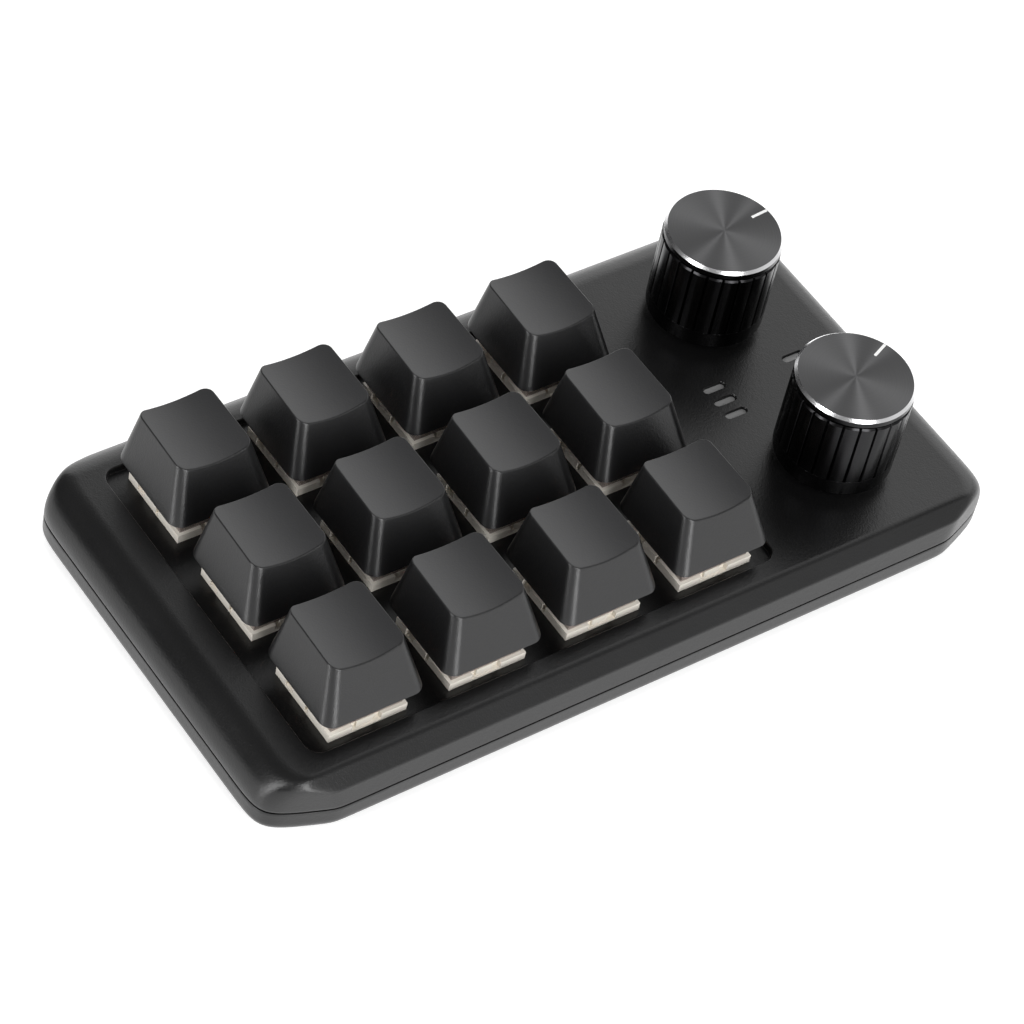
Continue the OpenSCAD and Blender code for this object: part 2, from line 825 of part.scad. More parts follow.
// One level of a keycap: t is 0 at the lower edge and 1 at the top corners.
// The sides are straight, the corners are arcs, and the top slopes up to the back.
function cap_ring(t, inset) =
    let (d = mix(cap_d, cap_top_d, t) - 2 * inset,
         front = mix(cap_w, cap_top_front, t) - 2 * inset,
         back = mix(cap_w, cap_top_back, t) - 2 * inset,
         r = max(mix(cap_r, cap_top_r, t) - inset, 0.4),
         shift = cap_shift * t)
    [for (q = [0:3], k = [0:3])
        let (a = 90 * q + 30 * k,
             y = (q < 2 ? 1 : -1) * (d / 2 - r) + r * sin(a),
             s = y / d + 0.5,
             half = mix(front, back, s) / 2,
             x = (q == 0 || q == 3 ? 1 : -1) * (half - r) + r * cos(a))
        [x, y + shift, mix(cap_h_front, cap_h_back, s) * t]];

module loft(rings) {
    n = len(rings[0]);
    last = len(rings) - 1;
    polyhedron(
        points = [for (ring = rings) each ring],
        faces = concat(
            [[for (i = [0:n - 1]) i]],
            [[for (i = [n - 1:-1:0]) last * n + i]],
            [for (j = [0:last - 1], i = [0:n - 1])
                [j * n + i, (j + 1) * n + i, (j + 1) * n + (i + 1) % n]],
            [for (j = [0:last - 1], i = [0:n - 1])
                [j * n + i, (j + 1) * n + (i + 1) % n, j * n + (i + 1) % n]]));
}

module keycap(c, r) {
    hollow_t = 1 - cap_roof / cap_h_front;
    middle_h = (cap_h_front + cap_h_back) / 2;
    post_low = z_stem_top - cap_floor;
    color([0.16, 0.16, 0.17])
    translate([key_x(c), key_y(r), cap_floor])
        difference() {
            union() {
                difference() {
                    loft([cap_ring(0, 0), cap_ring(1, 0)]);
                    loft([cap_ring(-0.02, cap_wall), cap_ring(hollow_t, cap_wall)]);
                }
                rod(post_d, post_low, middle_h - cap_roof + 0.3);
            }
            cross_shape(cross_l + 2 * cross_gap, cross_x_t + 2 * cross_gap, cross_y_t + 2 * cross_gap,
                        post_low - 1, post_low + cross_h + cross_gap);
            translate([0, cap_shift, middle_h - dish + dish_r])
                rotate([-90 + dish_tilt, 0, 0])
                    cylinder(r = dish_r, h = 2 * cap_d, center = true, $fn = 96);
        }
}

// ---- Knobs ----

// Outside of a knob's shell as [r, z] above its lower edge
function shell_outline() =
    let (ring_low = knob_h - rim_h - ring_h, rib_top = ring_low - ring_groove_h,
         groove_r = knob_r - ring_groove_depth, edge = 0.25)
    [[0, 0], [knob_r - edge, 0], [knob_r, edge], [knob_r, rib_top - rim_h], [knob_r - rim_h, rib_top],
     [groove_r, rib_top], [groove_r, ring_low], [knob_r, ring_low], [knob_r, ring_low + ring_h],
     [knob_r - rim_h, knob_h], [0, knob_h]];

module knob_shell(k) {
    rib_top = knob_h - rim_h - ring_h - ring_groove_h;
    color([0.15, 0.15, 0.16])
    translate([knob_x, knob_y[k], z_knob])
        difference() {
            rotate_extrude($fn = 96)
                polygon(shell_outline());
            rod(2 * shell_r, -1, knob_h - face_t);
            for (i = [0:flute_count - 1])
                rotate([0, 0, 360 * (i + 0.5) / flute_count])
                    translate([knob_r, 0, 0])
                        block(2 * flute_depth, flute_w, band_h, rib_top + ring_groove_h / 2);
            rotate([0, 0, pointer_angle[k]])
                translate([knob_r - rim_h - 0.15 - pointer_l / 2, 0, 0])
                    block(pointer_l, pointer_w, knob_h - pointer_depth, knob_h + 1);
        }
}

module knob_core(k) {
    core_r = shell_r - core_gap;
    color([0.2, 0.2, 0.2])
    translate([knob_x, knob_y[k], 0])
        difference() {
            rod(2 * core_r, z_core, z_core_top);
            rod(bush_d + 2 * bush_room, z_core - 1, z_bush_top + push + 0.5);
            flat_rod(shaft_d + 2 * run_gap, shaft_flat + run_gap, z_core, z_shaft_top);
        }
}

// ---- Encoders ----

module encoder_body(k) {
    color([0.7, 0.7, 0.68])
    translate([knob_x, knob_y[k], 0])
        difference() {
            union() {
                block(encoder_w, encoder_d, z_board, z_encoder_top);
                rod(bush_d, z_board + eps, z_bush_top);
            }
            rod(shaft_d + 2 * run_gap, z_rotor_room, z_bush_top + 1);
            rod(rotor_d + 2 * rotor_gap, z_rotor_room, z_rotor_room + rotor_room_h);
            rod(shaft_room_d, z_board + shaft_room_t, z_rotor_room + eps);
        }
}

module encoder_rotor(k) {
    color([0.85, 0.65, 0.3])
    translate([knob_x, knob_y[k], 0])
        difference() {
            rod(rotor_d, z_rotor, z_rotor + rotor_t);
            flat_rod(shaft_d + 2 * run_gap, shaft_flat + run_gap, z_rotor - 1, z_rotor + rotor_t + 1);
        }
}

module encoder_shaft(k) {
    color([0.8, 0.8, 0.82])
    translate([knob_x, knob_y[k], 0]) {
        flat_rod(shaft_d, shaft_flat, z_shaft, z_lower_flat + eps);
        rod(shaft_d, z_lower_flat, z_upper_flat);
        flat_rod(shaft_d, shaft_flat, z_upper_flat - eps, z_shaft_top - shaft_end_room);
    }
}

// ---- Fasteners and feet ----

module case_screws() {
    color([0.2, 0.2, 0.21])
    at_four(screw_x, screw_y) {
        rod(screw_d, z_head + screw_head_h - eps, z_screw_tip);
        difference() {
            rod(screw_head_d, z_head, z_head + screw_head_h);
            cross_shape(screw_head_d * 0.55, 0.5, 0.5, z_head - 1, z_head + screw_head_h / 2);
        }
    }
}

module rubber_feet() {
    color([0.08, 0.08, 0.08])
    at_four(foot_x, foot_y)
        rotate_extrude()
            polygon([[0, 0], [foot_d / 2 - foot_bevel, 0], [foot_d / 2, foot_bevel],
                     [foot_d / 2, foot_proud + foot_seat], [0, foot_proud + foot_seat]]);
}

top_case();
bottom_case();
circuit_board();
switch_bases();
switch_tops();
switch_contacts();
light_guides();
indicator_leds();
usb_socket();
controller_chip();
case_screws();
rubber_feet();
for (r = [0:len(rows) - 1], c = [0:columns - 1]) {
    keycap(c, r);
    stem(c, r);
    spring(c, r);
}
for (k = [0:len(knobs) - 1]) {
    knob_shell(k);
    knob_core(k);
    encoder_body(k);
    encoder_rotor(k);
    encoder_shaft(k);
}
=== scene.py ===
import math

import bmesh
import bpy
import numpy as np
from mathutils import Euler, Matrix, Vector
from mathutils.geometry import delaunay_2d_cdt


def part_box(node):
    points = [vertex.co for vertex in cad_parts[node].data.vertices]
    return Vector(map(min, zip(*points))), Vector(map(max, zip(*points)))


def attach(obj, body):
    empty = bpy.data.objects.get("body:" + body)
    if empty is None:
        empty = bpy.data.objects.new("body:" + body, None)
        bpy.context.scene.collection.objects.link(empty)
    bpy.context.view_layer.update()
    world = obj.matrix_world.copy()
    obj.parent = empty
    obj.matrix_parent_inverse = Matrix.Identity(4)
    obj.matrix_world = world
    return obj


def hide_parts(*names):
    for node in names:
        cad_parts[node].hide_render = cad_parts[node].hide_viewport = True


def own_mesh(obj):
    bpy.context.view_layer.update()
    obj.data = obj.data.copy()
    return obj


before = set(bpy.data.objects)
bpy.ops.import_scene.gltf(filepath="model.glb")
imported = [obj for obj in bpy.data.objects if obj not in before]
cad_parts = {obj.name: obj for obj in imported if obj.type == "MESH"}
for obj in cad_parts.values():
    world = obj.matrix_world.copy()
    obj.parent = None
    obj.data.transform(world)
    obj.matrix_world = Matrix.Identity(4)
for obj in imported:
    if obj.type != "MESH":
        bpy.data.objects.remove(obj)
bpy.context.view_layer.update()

# Sizes below are millimetres in the keypad's own frame. MM turns them into metres.
MM = 0.001
ROWS = ("front", "middle", "back")
COLUMNS = (1, 2, 3, 4)
KNOBS = ("back", "front")


def box_mm(node):
    """Lowest and highest corner of a CAD node, in millimetres."""
    low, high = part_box(node)
    return np.array(low) / MM, np.array(high) / MM


# ---- Sizes of the case ----
CASE_LOW, CASE_HIGH = box_mm("bottom_case")
HALF_W, HALF_D = CASE_HIGH[0], CASE_HIGH[1]
Z_FLOOR = CASE_LOW[2]
Z_TOP = box_mm("top_case")[1][2]
Z_PART = 6.1  # parting line between the two shells
Z_CREASE = 10.25  # where the long walls lean in to the top
Z_CEILING = 10.8  # underside of the top skin
Z_LEDGE = Z_PART + 2.8  # where the inner wall leans in to the ceiling
Z_WELL = Z_TOP - 1.4
Z_TRAY = Z_FLOOR + 1.6  # inner floor of the lower shell
WALL = 2.0
FACET = math.radians(19.3)  # turn of the four corner facets from the long sides
FACET_START = 11.4  # where a facet meets the long side, in from the end
FACET_REACH = (HALF_W - FACET_START) * math.sin(FACET) + HALF_D * math.cos(FACET)
ROLL_R = 5.8
BOTTOM_R = 2.5
FACET_TOP_R = 1.8
CREASE_R, FRONT_TOP_R, BACK_TOP_R = 0.7, 1.6, 6.5
LEAN = 0.4
GROOVE = 0.3
SOFT_EDGE = 0.12
LIP = SOFT_EDGE * 0.3
RIM_ROUND, FOOT_ROUND = 0.2, 0.12
HOLE_EDGE = 0.15
CEILING_IN_D, CEILING_IN_W, CEILING_IN_FACET = 3.8, ROLL_R + 0.5, WALL + 1
FOOT_R, FOOT_ROOM, FOOT_RECESS = 4.5, 0.1, 0.4
SCREW_R, SCREW_ROOM, SCREW_RECESS = 2.1, 0.2, 1.2

# ---- Key well, holes and slots ----
CAP_W, CAP_D = 18.4, 18.2
WELL_ROOM_W, WELL_ROOM_D, WELL_R = 4.0, 0.8, 2.5
CAP_FLOOR = box_mm("keycap_front_1")[0][2]
KEY_X = [box_mm("keycap_front_%d" % c)[0][0] + CAP_W / 2 for c in COLUMNS]
KEY_Y = [box_mm("keycap_%s_1" % r)[0][1] + CAP_D / 2 for r in ROWS]
WELL = dict(cx=(KEY_X[0] + KEY_X[-1]) / 2, cy=0, w=KEY_X[-1] - KEY_X[0] + CAP_W + WELL_ROOM_W,
            d=KEY_Y[-1] - KEY_Y[0] + CAP_D + WELL_ROOM_D, r=WELL_R)
SWITCH_HOLE_W, SWITCH_HOLE_D, SWITCH_HOLE_R = 13.6, 14.1, 0.3
KNOB_LOW, KNOB_HIGH = box_mm("knob_shell_back")
KNOB_X = (KNOB_LOW[0] + KNOB_HIGH[0]) / 2
BACK_KNOB_Y = (KNOB_LOW[1] + KNOB_HIGH[1]) / 2
KNOB_Y = {"back": BACK_KNOB_Y, "front": -BACK_KNOB_Y}
KNOB_R = (KNOB_HIGH[0] - KNOB_LOW[0]) / 2
BUSH_HOLE_R = 3.8
SLOT_OUT, SLOT_PITCH = 8.3, 3.1
SLOT_X = (KNOB_X - SLOT_OUT, KNOB_X + SLOT_OUT)
SLOT_Y = (-SLOT_PITCH, 0.0, SLOT_PITCH)
SLOT_L, SLOT_W = 4.2, 1.4
SOCKET_ROOM_W, SOCKET_MOUTH_H, SOCKET_MOUTH_R, SOCKET_DROP = 0.5, 3.8, 1.7, 0.1
CUTTER_IN, CUTTER_OUT = 5, 2  # reach of the socket's cutter inside and outside the wall

# ---- Mesh limits ----
WELD = 2e-6  # metres: corners closer than this are one
NEAR = 1e-7  # millimetres: points of a flat fill closer than this are one
SLIVER = 1e-7  # square millimetres: twice the area of the smallest triangle kept
CRISP = 40  # degrees: an edge bent further stays crisp


# ---- Mesh kit ----
class Skin:
    """Gathers surface patches in millimetres and joins them into one piece."""

    def __init__(self):
        self.points, self.faces, self.marks, self.count = [], [], [], 0

    def _add(self, points, faces, mark):
        self.points.append(np.asarray(points, float))
        self.faces.extend((np.asarray(faces) + self.count).tolist())
        self.marks.extend([mark] * len(faces))
        self.count += len(points)

    def grid(self, rows, closed=True, flip=False, mark=0):
        """Quads between neighbouring rows of points. A closed grid joins its last column to its
        first. Rows that rise and run counter-clockwise face outwards."""
        rows = np.asarray(rows, float)
        n_rows, n_cols = rows.shape[:2]
        a = np.arange(n_rows - 1)[:, None] * n_cols
        i = np.arange(n_cols if closed else n_cols - 1)[None, :]
        j = (i + 1) % n_cols
        quads = np.stack([a + i, a + j, a + n_cols + j, a + n_cols + i], axis=-1).reshape(-1, 4)
        self._add(rows.reshape(-1, 3), quads[:, ::-1] if flip else quads, mark)

    def flat(self, loops, z, up=True, mark=0):
        """Triangles that fill a level area inside the first loop and outside all others."""
        flat_points = np.concatenate(loops)
        edges, start = [], 0
        for loop in loops:
            k = np.arange(len(loop))
            edges.extend(np.stack([k, (k + 1) % len(loop)], axis=1) + start)
            start += len(loop)
        corners, edges = [Vector(p) for p in flat_points], [tuple(map(int, e)) for e in edges]
        result = delaunay_2d_cdt(corners, edges, [], 0, NEAR)
        points = np.array([tuple(p) for p in result[0]])
        triangles = np.array(result[2])
        middle = points[triangles].mean(axis=1)
        triangles = triangles[inside(middle, loops)]
        a, b, c = (points[triangles[:, k]] for k in range(3))
        area = (b[:, 0] - a[:, 0]) * (c[:, 1] - a[:, 1]) - (b[:, 1] - a[:, 1]) * (c[:, 0] - a[:, 0])
        real = np.abs(area) > SLIVER
        triangles, area = triangles[real], area[real]
        wrong = (area > 0) != up
        triangles[wrong] = triangles[wrong][:, ::-1]
        self._add(at_level(points, z), triangles, mark)

    def piece(self, name, materials, slot, sharp=CRISP):
        """One object with its doubles welded; edges bent past `sharp` degrees stay crisp."""
        mesh = bpy.data.meshes.new(name)
        mesh.from_pydata((np.concatenate(self.points) * MM).tolist(), [], self.faces)
        mesh.polygons.foreach_set("material_index", self.marks)
        bm = bmesh.new()
        bm.from_mesh(mesh)
        bmesh.ops.remove_doubles(bm, verts=bm.verts, dist=WELD)
        bmesh.ops.dissolve_degenerate(bm, edges=bm.edges, dist=WELD / 4)
        bm.to_mesh(mesh)
        bm.free()
        for material in materials:
            mesh.materials.append(material)
        mesh.shade_smooth()
        mesh.set_sharp_from_angle(angle=math.radians(sharp))
        obj = bpy.data.objects.new(name, mesh)
        bpy.context.scene.collection.objects.link(obj)
        obj.modifiers.new("weighted_normals", "WEIGHTED_NORMAL").keep_sharp = True
        return obj


def inside(points, loops):
    """True where a point has an odd number of loop edges to its right."""
    odd = np.zeros(len(points), bool)
    for loop in loops:
        a, b = loop, np.roll(loop, -1, axis=0)
        y = points[:, 1][:, None]
        crosses = (a[None, :, 1] > y) != (b[None, :, 1] > y)
        with np.errstate(divide="ignore", invalid="ignore"):
            x = a[None, :, 0] + (y - a[None, :, 1]) * (b - a)[None, :, 0] / (b - a)[None, :, 1]
        odd ^= (np.sum(crosses & (points[:, 0][:, None] < x), axis=1) % 2).astype(bool)
    return odd


def at_level(loop, z):
    """Points of a flat loop raised to height z, which may be one number or one per point."""
    loop = np.asarray(loop, float)
    return np.column_stack([loop, np.broadcast_to(z, len(loop))])


def rounded_loop(cx, cy, w, d, r, steps=8):
    """Rectangle with four quarter-circle corners, counter-clockwise."""
    angle = np.radians(np.linspace(0, 90, steps + 1))
    corners = []
    for q, (sx, sy) in enumerate(((1, 1), (-1, 1), (-1, -1), (1, -1))):
        a = angle + q * math.pi / 2
        x, y = cx + sx * (w / 2 - r), cy + sy * (d / 2 - r)
        corners.append(np.column_stack([x + r * np.cos(a), y + r * np.sin(a)]))
    return np.concatenate(corners)


def circle_loop(cx, cy, r, steps=64):
    """Points of a circle, counter-clockwise."""
    a = np.linspace(0, 2 * math.pi, steps, endpoint=False)
    return np.column_stack([cx + r * np.cos(a), cy + r * np.sin(a)])


def grown(shape, by):
    """The place, size and radius of a rounded loop, grown outwards by a distance."""
    return dict(shape, w=shape["w"] + 2 * by, d=shape["d"] + 2 * by, r=shape["r"] + by)


def rounded_profile(points, radii, steps=6):
    """Open polyline whose inner corners become arcs of the given radii, each in `steps` parts."""
    points = [np.array(p, float) for p in points]
    out = [points[0]]
    for before, corner, after, r in zip(points, points[1:], points[2:], radii):
        u = (before - corner) / np.linalg.norm(before - corner)
        v = (after - corner) / np.linalg.norm(after - corner)
        half = math.acos(np.clip(u @ v, -1, 1)) / 2
        centre = corner + (u + v) / np.linalg.norm(u + v) * r / math.sin(half)
        start = corner + u * r / math.tan(half) - centre
        end = corner + v * r / math.tan(half) - centre
        t = np.linspace(0, 1, steps + 1)[:, None]
        arc = start * (1 - t) + end * t
        out.extend(centre + r * arc / np.linalg.norm(arc, axis=1)[:, None])
    out.append(points[-1])
    return np.array(out)


# ---- Case: contours that blend the long edges, the short ends and the four facets ----
def quadrant_angles():
    """Directions from the middle of the case, dense where the corner and the facet lie."""
    quarter = np.radians(np.concatenate([np.linspace(0, 19, 8)[:-1], np.linspace(19, 37, 73)[:-1],
                                         np.linspace(37, 90, 18)]))
    half = np.concatenate([quarter, math.pi - quarter[::-1][1:]])
    return np.concatenate([half, half[1:-1] + math.pi])


ANGLES = quadrant_angles()
CORNER_SHARPNESS = 38.0
BEND_SHARPNESS = 230.0


def contour(front, end, facet, bend=BEND_SHARPNESS):
    """Outline at one height. Each flat side is at its own distance, and along each direction
    the distances blend as a high power mean, which rounds the corners between them. The distance
    of the long sides may be one number or one per direction."""
    c, s = np.abs(np.cos(ANGLES)), np.abs(np.sin(ANGLES))
    to_end = c / end
    to_front = s / front
    to_facet = (c * math.sin(FACET) + s * math.cos(FACET)) / facet
    corner = (to_end ** CORNER_SHARPNESS + to_facet ** CORNER_SHARPNESS) ** (1 / CORNER_SHARPNESS)
    scale = np.maximum(corner, to_front)
    radius = 1 / (scale * ((corner / scale) ** bend + (to_front / scale) ** bend) ** (1 / bend))
    return np.column_stack([radius * np.cos(ANGLES), radius * np.sin(ANGLES)])


def distance_at(profile, z):
    """Distance of a side at height z, read off a profile of [distance, height] points. The last
    point only gives the direction of the level top, so it is left out."""
    return np.interp(z, profile[:-1, 1], profile[:-1, 0])


TOP_EDGE = HALF_D - LEAN - (Z_TOP - Z_CREASE)
LONG_SIDE = [(HALF_D, Z_PART), (HALF_D - LEAN, Z_CREASE), (TOP_EDGE, Z_TOP), (TOP_EDGE - 4, Z_TOP)]
FRONT_PROFILE = rounded_profile(LONG_SIDE, [CREASE_R, FRONT_TOP_R], 12)
BACK_PROFILE = rounded_profile(LONG_SIDE, [CREASE_R, BACK_TOP_R], 24)
END_PROFILE = rounded_profile(
    [(HALF_W, Z_PART), (HALF_W, Z_TOP), (HALF_W - 12, Z_TOP)], [ROLL_R], 24)
FACET_PROFILE = rounded_profile(
    [(FACET_REACH, Z_PART), (FACET_REACH, Z_TOP), (FACET_REACH - 6, Z_TOP)], [FACET_TOP_R], 16)


def top_levels():
    """Heights of the upper shell's rows: even up the wall, close at the crease and at the top."""
    wall = np.linspace(Z_PART + GROOVE + SOFT_EDGE, Z_CREASE - 0.6, 9)
    crease = np.linspace(Z_CREASE - 0.45, Z_CREASE + 0.45, 9)
    over = Z_TOP - (Z_TOP - Z_CREASE - 0.6) * (1 - np.sin(np.radians(np.linspace(0, 90, 18))))
    return np.concatenate([wall, crease, over])


def top_row(z):
    """Outline of the upper shell at height z: the front and the back are rounded differently."""
    profiles = (FRONT_PROFILE, BACK_PROFILE, END_PROFILE, FACET_PROFILE)
    front, back, end, facet = (distance_at(p, z) for p in profiles)
    return at_level(contour(np.where(np.sin(ANGLES) > 0, back, front), end, facet), z)


def wall_row(inset, z):
    """Outline of the upright walls at height z, moved in by a distance."""
    return at_level(contour(HALF_D - inset, HALF_W - inset, FACET_REACH - inset), z)


def socket_cutter():
    """Rounded slot that runs through the back wall at the socket, as a closed prism along Y."""
    low, high = box_mm("usb_socket")
    loop = rounded_loop((low[0] + high[0]) / 2, (low[2] + high[2]) / 2 - SOCKET_DROP,
                        high[0] - low[0] + SOCKET_ROOM_W, SOCKET_MOUTH_H, SOCKET_MOUTH_R)
    cut = Skin()
    rows = [np.column_stack([loop[:, 0], np.full(len(loop), y), loop[:, 1]])
            for y in (HALF_D - CUTTER_IN, HALF_D + CUTTER_OUT)]
    cut.grid(rows, flip=True)
    for row, flip in ((rows[0], False), (rows[1], True)):
        middle = row.mean(axis=0)
        cut.grid([row, np.repeat(middle[None], len(row), axis=0)], flip=flip)
    return cut.piece("socket_cutter", [], "case_plastic")


def crisp_edges(mesh, degrees):
    """Drops the normals that a cut leaves on a mesh, and keeps crisp every edge bent past an
    angle."""
    if "custom_normal" in mesh.attributes:
        mesh.attributes.remove(mesh.attributes["custom_normal"])
    bm = bmesh.new()
    bm.from_mesh(mesh)
    for edge in bm.edges:
        edge.smooth = edge.calc_face_angle(0) < math.radians(degrees)
    bm.to_mesh(mesh)
    bm.free()


def cut_with(obj, cutter):
    """Takes the cutter's space out of a piece and keeps the result as its mesh."""
    obj.modifiers.clear()
    boolean = obj.modifiers.new("cut", "BOOLEAN")
    boolean.object = cutter
    boolean.operation = "DIFFERENCE"
    boolean.solver = "EXACT"
    graph = bpy.context.evaluated_depsgraph_get()
    result = bpy.data.meshes.new_from_object(obj.evaluated_get(graph))
    old = obj.data
    obj.data = result
    bpy.data.meshes.remove(old)
    result.name = obj.name
    crisp_edges(result, CRISP)
    obj.modifiers.clear()
    obj.modifiers.new("weighted_normals", "WEIGHTED_NORMAL").keep_sharp = True
    bpy.data.objects.remove(cutter)


def upper_holes():
    """Loops through the skin beside the well: two bush holes and six indicator slots."""
    bushes = [circle_loop(KNOB_X, KNOB_Y[k], BUSH_HOLE_R) for k in KNOBS]
    slots = [rounded_loop(x, y, SLOT_L, SLOT_W, SLOT_W / 2 - 0.01) for x in SLOT_X for y in SLOT_Y]
    return bushes + slots


def make_top_case(material):
    """Outer wall rows swept up the blended contour, a flat rim round the well, the well and its
    floor, the walls of every hole, and an inner ceiling and wall that close the shell."""
    skin = Skin()
    z_wall = Z_PART + GROOVE
    rows = [wall_row(GROOVE, Z_PART), wall_row(GROOVE, z_wall), wall_row(SOFT_EDGE, z_wall),
            wall_row(LIP, z_wall + LIP)]
    rows += [top_row(z) for z in top_levels()]
    skin.grid(rows)
    turn = np.radians(np.linspace(0, 90, 6))
    rim = [at_level(rounded_loop(**grown(WELL, RIM_ROUND * (1 - math.sin(a)))),
                    Z_TOP - RIM_ROUND * (1 - math.cos(a))) for a in turn]
    foot = [at_level(rounded_loop(**grown(WELL, -FOOT_ROUND * (1 - math.cos(a)))),
                     Z_WELL + FOOT_ROUND * (1 - math.sin(a))) for a in turn]
    skin.grid(rim + foot)
    holes, wide_loops = upper_holes(), []
    for loop in holes:
        middle = loop.mean(axis=0)
        out = loop - middle
        wide = middle + out * (1 + HOLE_EDGE / np.linalg.norm(out, axis=1).max())
        skin.grid([at_level(wide, Z_TOP), at_level(loop, Z_TOP - HOLE_EDGE),
                   at_level(loop, Z_CEILING)])
        wide_loops.append(wide)
    skin.flat([rows[-1][:, :2], rim[0][:, :2]] + wide_loops, Z_TOP)
    squares = [rounded_loop(x, y, SWITCH_HOLE_W, SWITCH_HOLE_D, SWITCH_HOLE_R, 2)
               for x in KEY_X for y in KEY_Y]
    skin.flat([foot[-1][:, :2]] + squares, Z_WELL)
    for square in squares:
        skin.grid([at_level(square, Z_WELL), at_level(square, Z_CEILING)])
    ceiling = contour(HALF_D - CEILING_IN_D, HALF_W - CEILING_IN_W, FACET_REACH - CEILING_IN_FACET)
    skin.flat([ceiling] + holes + squares, Z_CEILING, up=False)
    skin.grid([at_level(ceiling, Z_CEILING), wall_row(WALL, Z_LEDGE), wall_row(WALL, Z_PART)])
    skin.grid([wall_row(WALL, Z_PART), wall_row(GROOVE, Z_PART)])
    return skin.piece("case_top", [material], "case_plastic")


def make_bottom_case(material):
    """Wall rows that roll under at the bottom edge, a flat underside with screw and foot recesses,
    and an inner tray that closes the shell."""
    skin = Skin()
    turn = np.radians(np.linspace(0, 90, 14))
    roll = [wall_row(BOTTOM_R * (1 - math.sin(a)), Z_FLOOR + BOTTOM_R * (1 - math.cos(a)))
            for a in turn]
    wall = [wall_row(0, z) for z in np.linspace(Z_FLOOR + BOTTOM_R, Z_PART - SOFT_EDGE, 6)[1:]]
    lip = [wall_row(LIP, Z_PART - LIP), wall_row(SOFT_EDGE, Z_PART)]
    skin.grid(roll + wall + lip + [wall_row(WALL, Z_PART), wall_row(WALL, Z_TRAY)])
    skin.flat([wall_row(WALL, 0)[:, :2]], Z_TRAY)
    recesses = []
    for node, r, room, depth in (("rubber_feet", FOOT_R, FOOT_ROOM, FOOT_RECESS),
                                 ("case_screws", SCREW_R, SCREW_ROOM, SCREW_RECESS)):
        low, high = box_mm(node)
        for cx in (low[0] + r, high[0] - r):
            for cy in (low[1] + r, high[1] - r):
                loop = circle_loop(cx, cy, r + room, 40)
                skin.grid([at_level(loop, Z_FLOOR), at_level(loop, Z_FLOOR + depth)], flip=True)
                skin.flat([loop], Z_FLOOR + depth, up=False)
                recesses.append(loop)
    skin.flat([roll[0][:, :2]] + recesses, Z_FLOOR, up=False)
    return skin.piece("case_bottom", [material], "case_plastic")


# ---- Keycaps ----
CAP_TOP_FRONT, CAP_TOP_BACK, CAP_TOP_D = 13.4, 13.0, 13.4
CAP_SHIFT = 1.75  # how far back of the skirt's middle the top's middle lies
CAP_H_FRONT, CAP_H_BACK = 8.9, 9.15
CAP_R, CAP_TOP_R = 2.3, 1.7
CAP_EDGE = 0.22
DISH = 0.9
CAP_WALL = 1.2
CAP_ROOF = 2.2
POST_R = 2.75
POST_CROSS = (4.1, 1.4, 1.2)  # length of both blades, then the width of each
POST_DEEP = 3.55
STEM_CROSS_H = 3.5
Z_POST = box_mm("stem_front_1")[1][2] - STEM_CROSS_H - CAP_FLOOR


def cap_ring(t, inset=0.0, corner_steps=10, side_steps=8):
    """Points round a keycap at level t, 0 at the skirt and 1 at the top corners: straight sides
    that lean in, arcs at the corners, and the back narrower than the front. t may be one value per
    point."""
    angle = np.radians(np.linspace(0, 90, corner_steps + 1))
    n = 4 * (corner_steps + side_steps)
    t = np.broadcast_to(t, n).astype(float)
    quarter = np.repeat(np.arange(4), n // 4)
    turn = np.concatenate([angle, np.full(side_steps - 1, math.pi / 2)])
    turn = np.tile(turn, 4) + quarter * math.pi / 2
    along = np.concatenate([np.zeros(corner_steps + 1), np.arange(1, side_steps) / side_steps])
    along = np.tile(along, 4)
    d = CAP_D + (CAP_TOP_D - CAP_D) * t - 2 * inset
    front = CAP_W + (CAP_TOP_FRONT - CAP_W) * t - 2 * inset
    back = CAP_W + (CAP_TOP_BACK - CAP_W) * t - 2 * inset
    r = np.maximum(CAP_R + (CAP_TOP_R - CAP_R) * t - inset, 0.3)
    sx = np.array([1, -1, -1, 1])[quarter]
    sy = np.array([1, 1, -1, -1])[quarter]
    next_sx = np.array([-1, -1, 1, 1])[quarter]
    next_sy = np.array([1, -1, -1, 1])[quarter]

    def corner(sign_x, sign_y):
        y = sign_y * (d / 2 - r)
        half = (front + (back - front) * (y / d + 0.5)) / 2
        return sign_x * (half - r), y

    x0, y0 = corner(sx, sy)
    x1, y1 = corner(next_sx, next_sy)
    x = x0 + (x1 - x0) * along + r * np.cos(turn)
    y = y0 + (y1 - y0) * along + r * np.sin(turn)
    return np.column_stack([x, y + CAP_SHIFT * t])


def cap_height(t, y):
    """Height of a keycap's side at level t: the top slopes up a little to the back."""
    s = (y - CAP_SHIFT * t) / (CAP_D + (CAP_TOP_D - CAP_D) * t) + 0.5
    return (CAP_H_FRONT + (CAP_H_BACK - CAP_H_FRONT) * s) * t


def dish_height(x, y):
    """Height of the dished top: a cylinder along Y that sags in the middle, on a gentle slope."""
    radius = ((CAP_TOP_FRONT / 2) ** 2 + DISH ** 2) / (2 * DISH)
    s = (y - CAP_SHIFT) / CAP_TOP_D + 0.5
    rim = CAP_H_FRONT + (CAP_H_BACK - CAP_H_FRONT) * s
    return rim - DISH + radius - np.sqrt(radius ** 2 - x ** 2)


def meet_dish():
    """Level t at each point round the cap where the leaning side meets the dished top."""
    t = np.ones(len(cap_ring(1)))
    for _ in range(12):
        ring = cap_ring(t)
        t = t - (cap_height(t, ring[:, 1]) - dish_height(ring[:, 0], ring[:, 1])) / CAP_H_FRONT
    return t


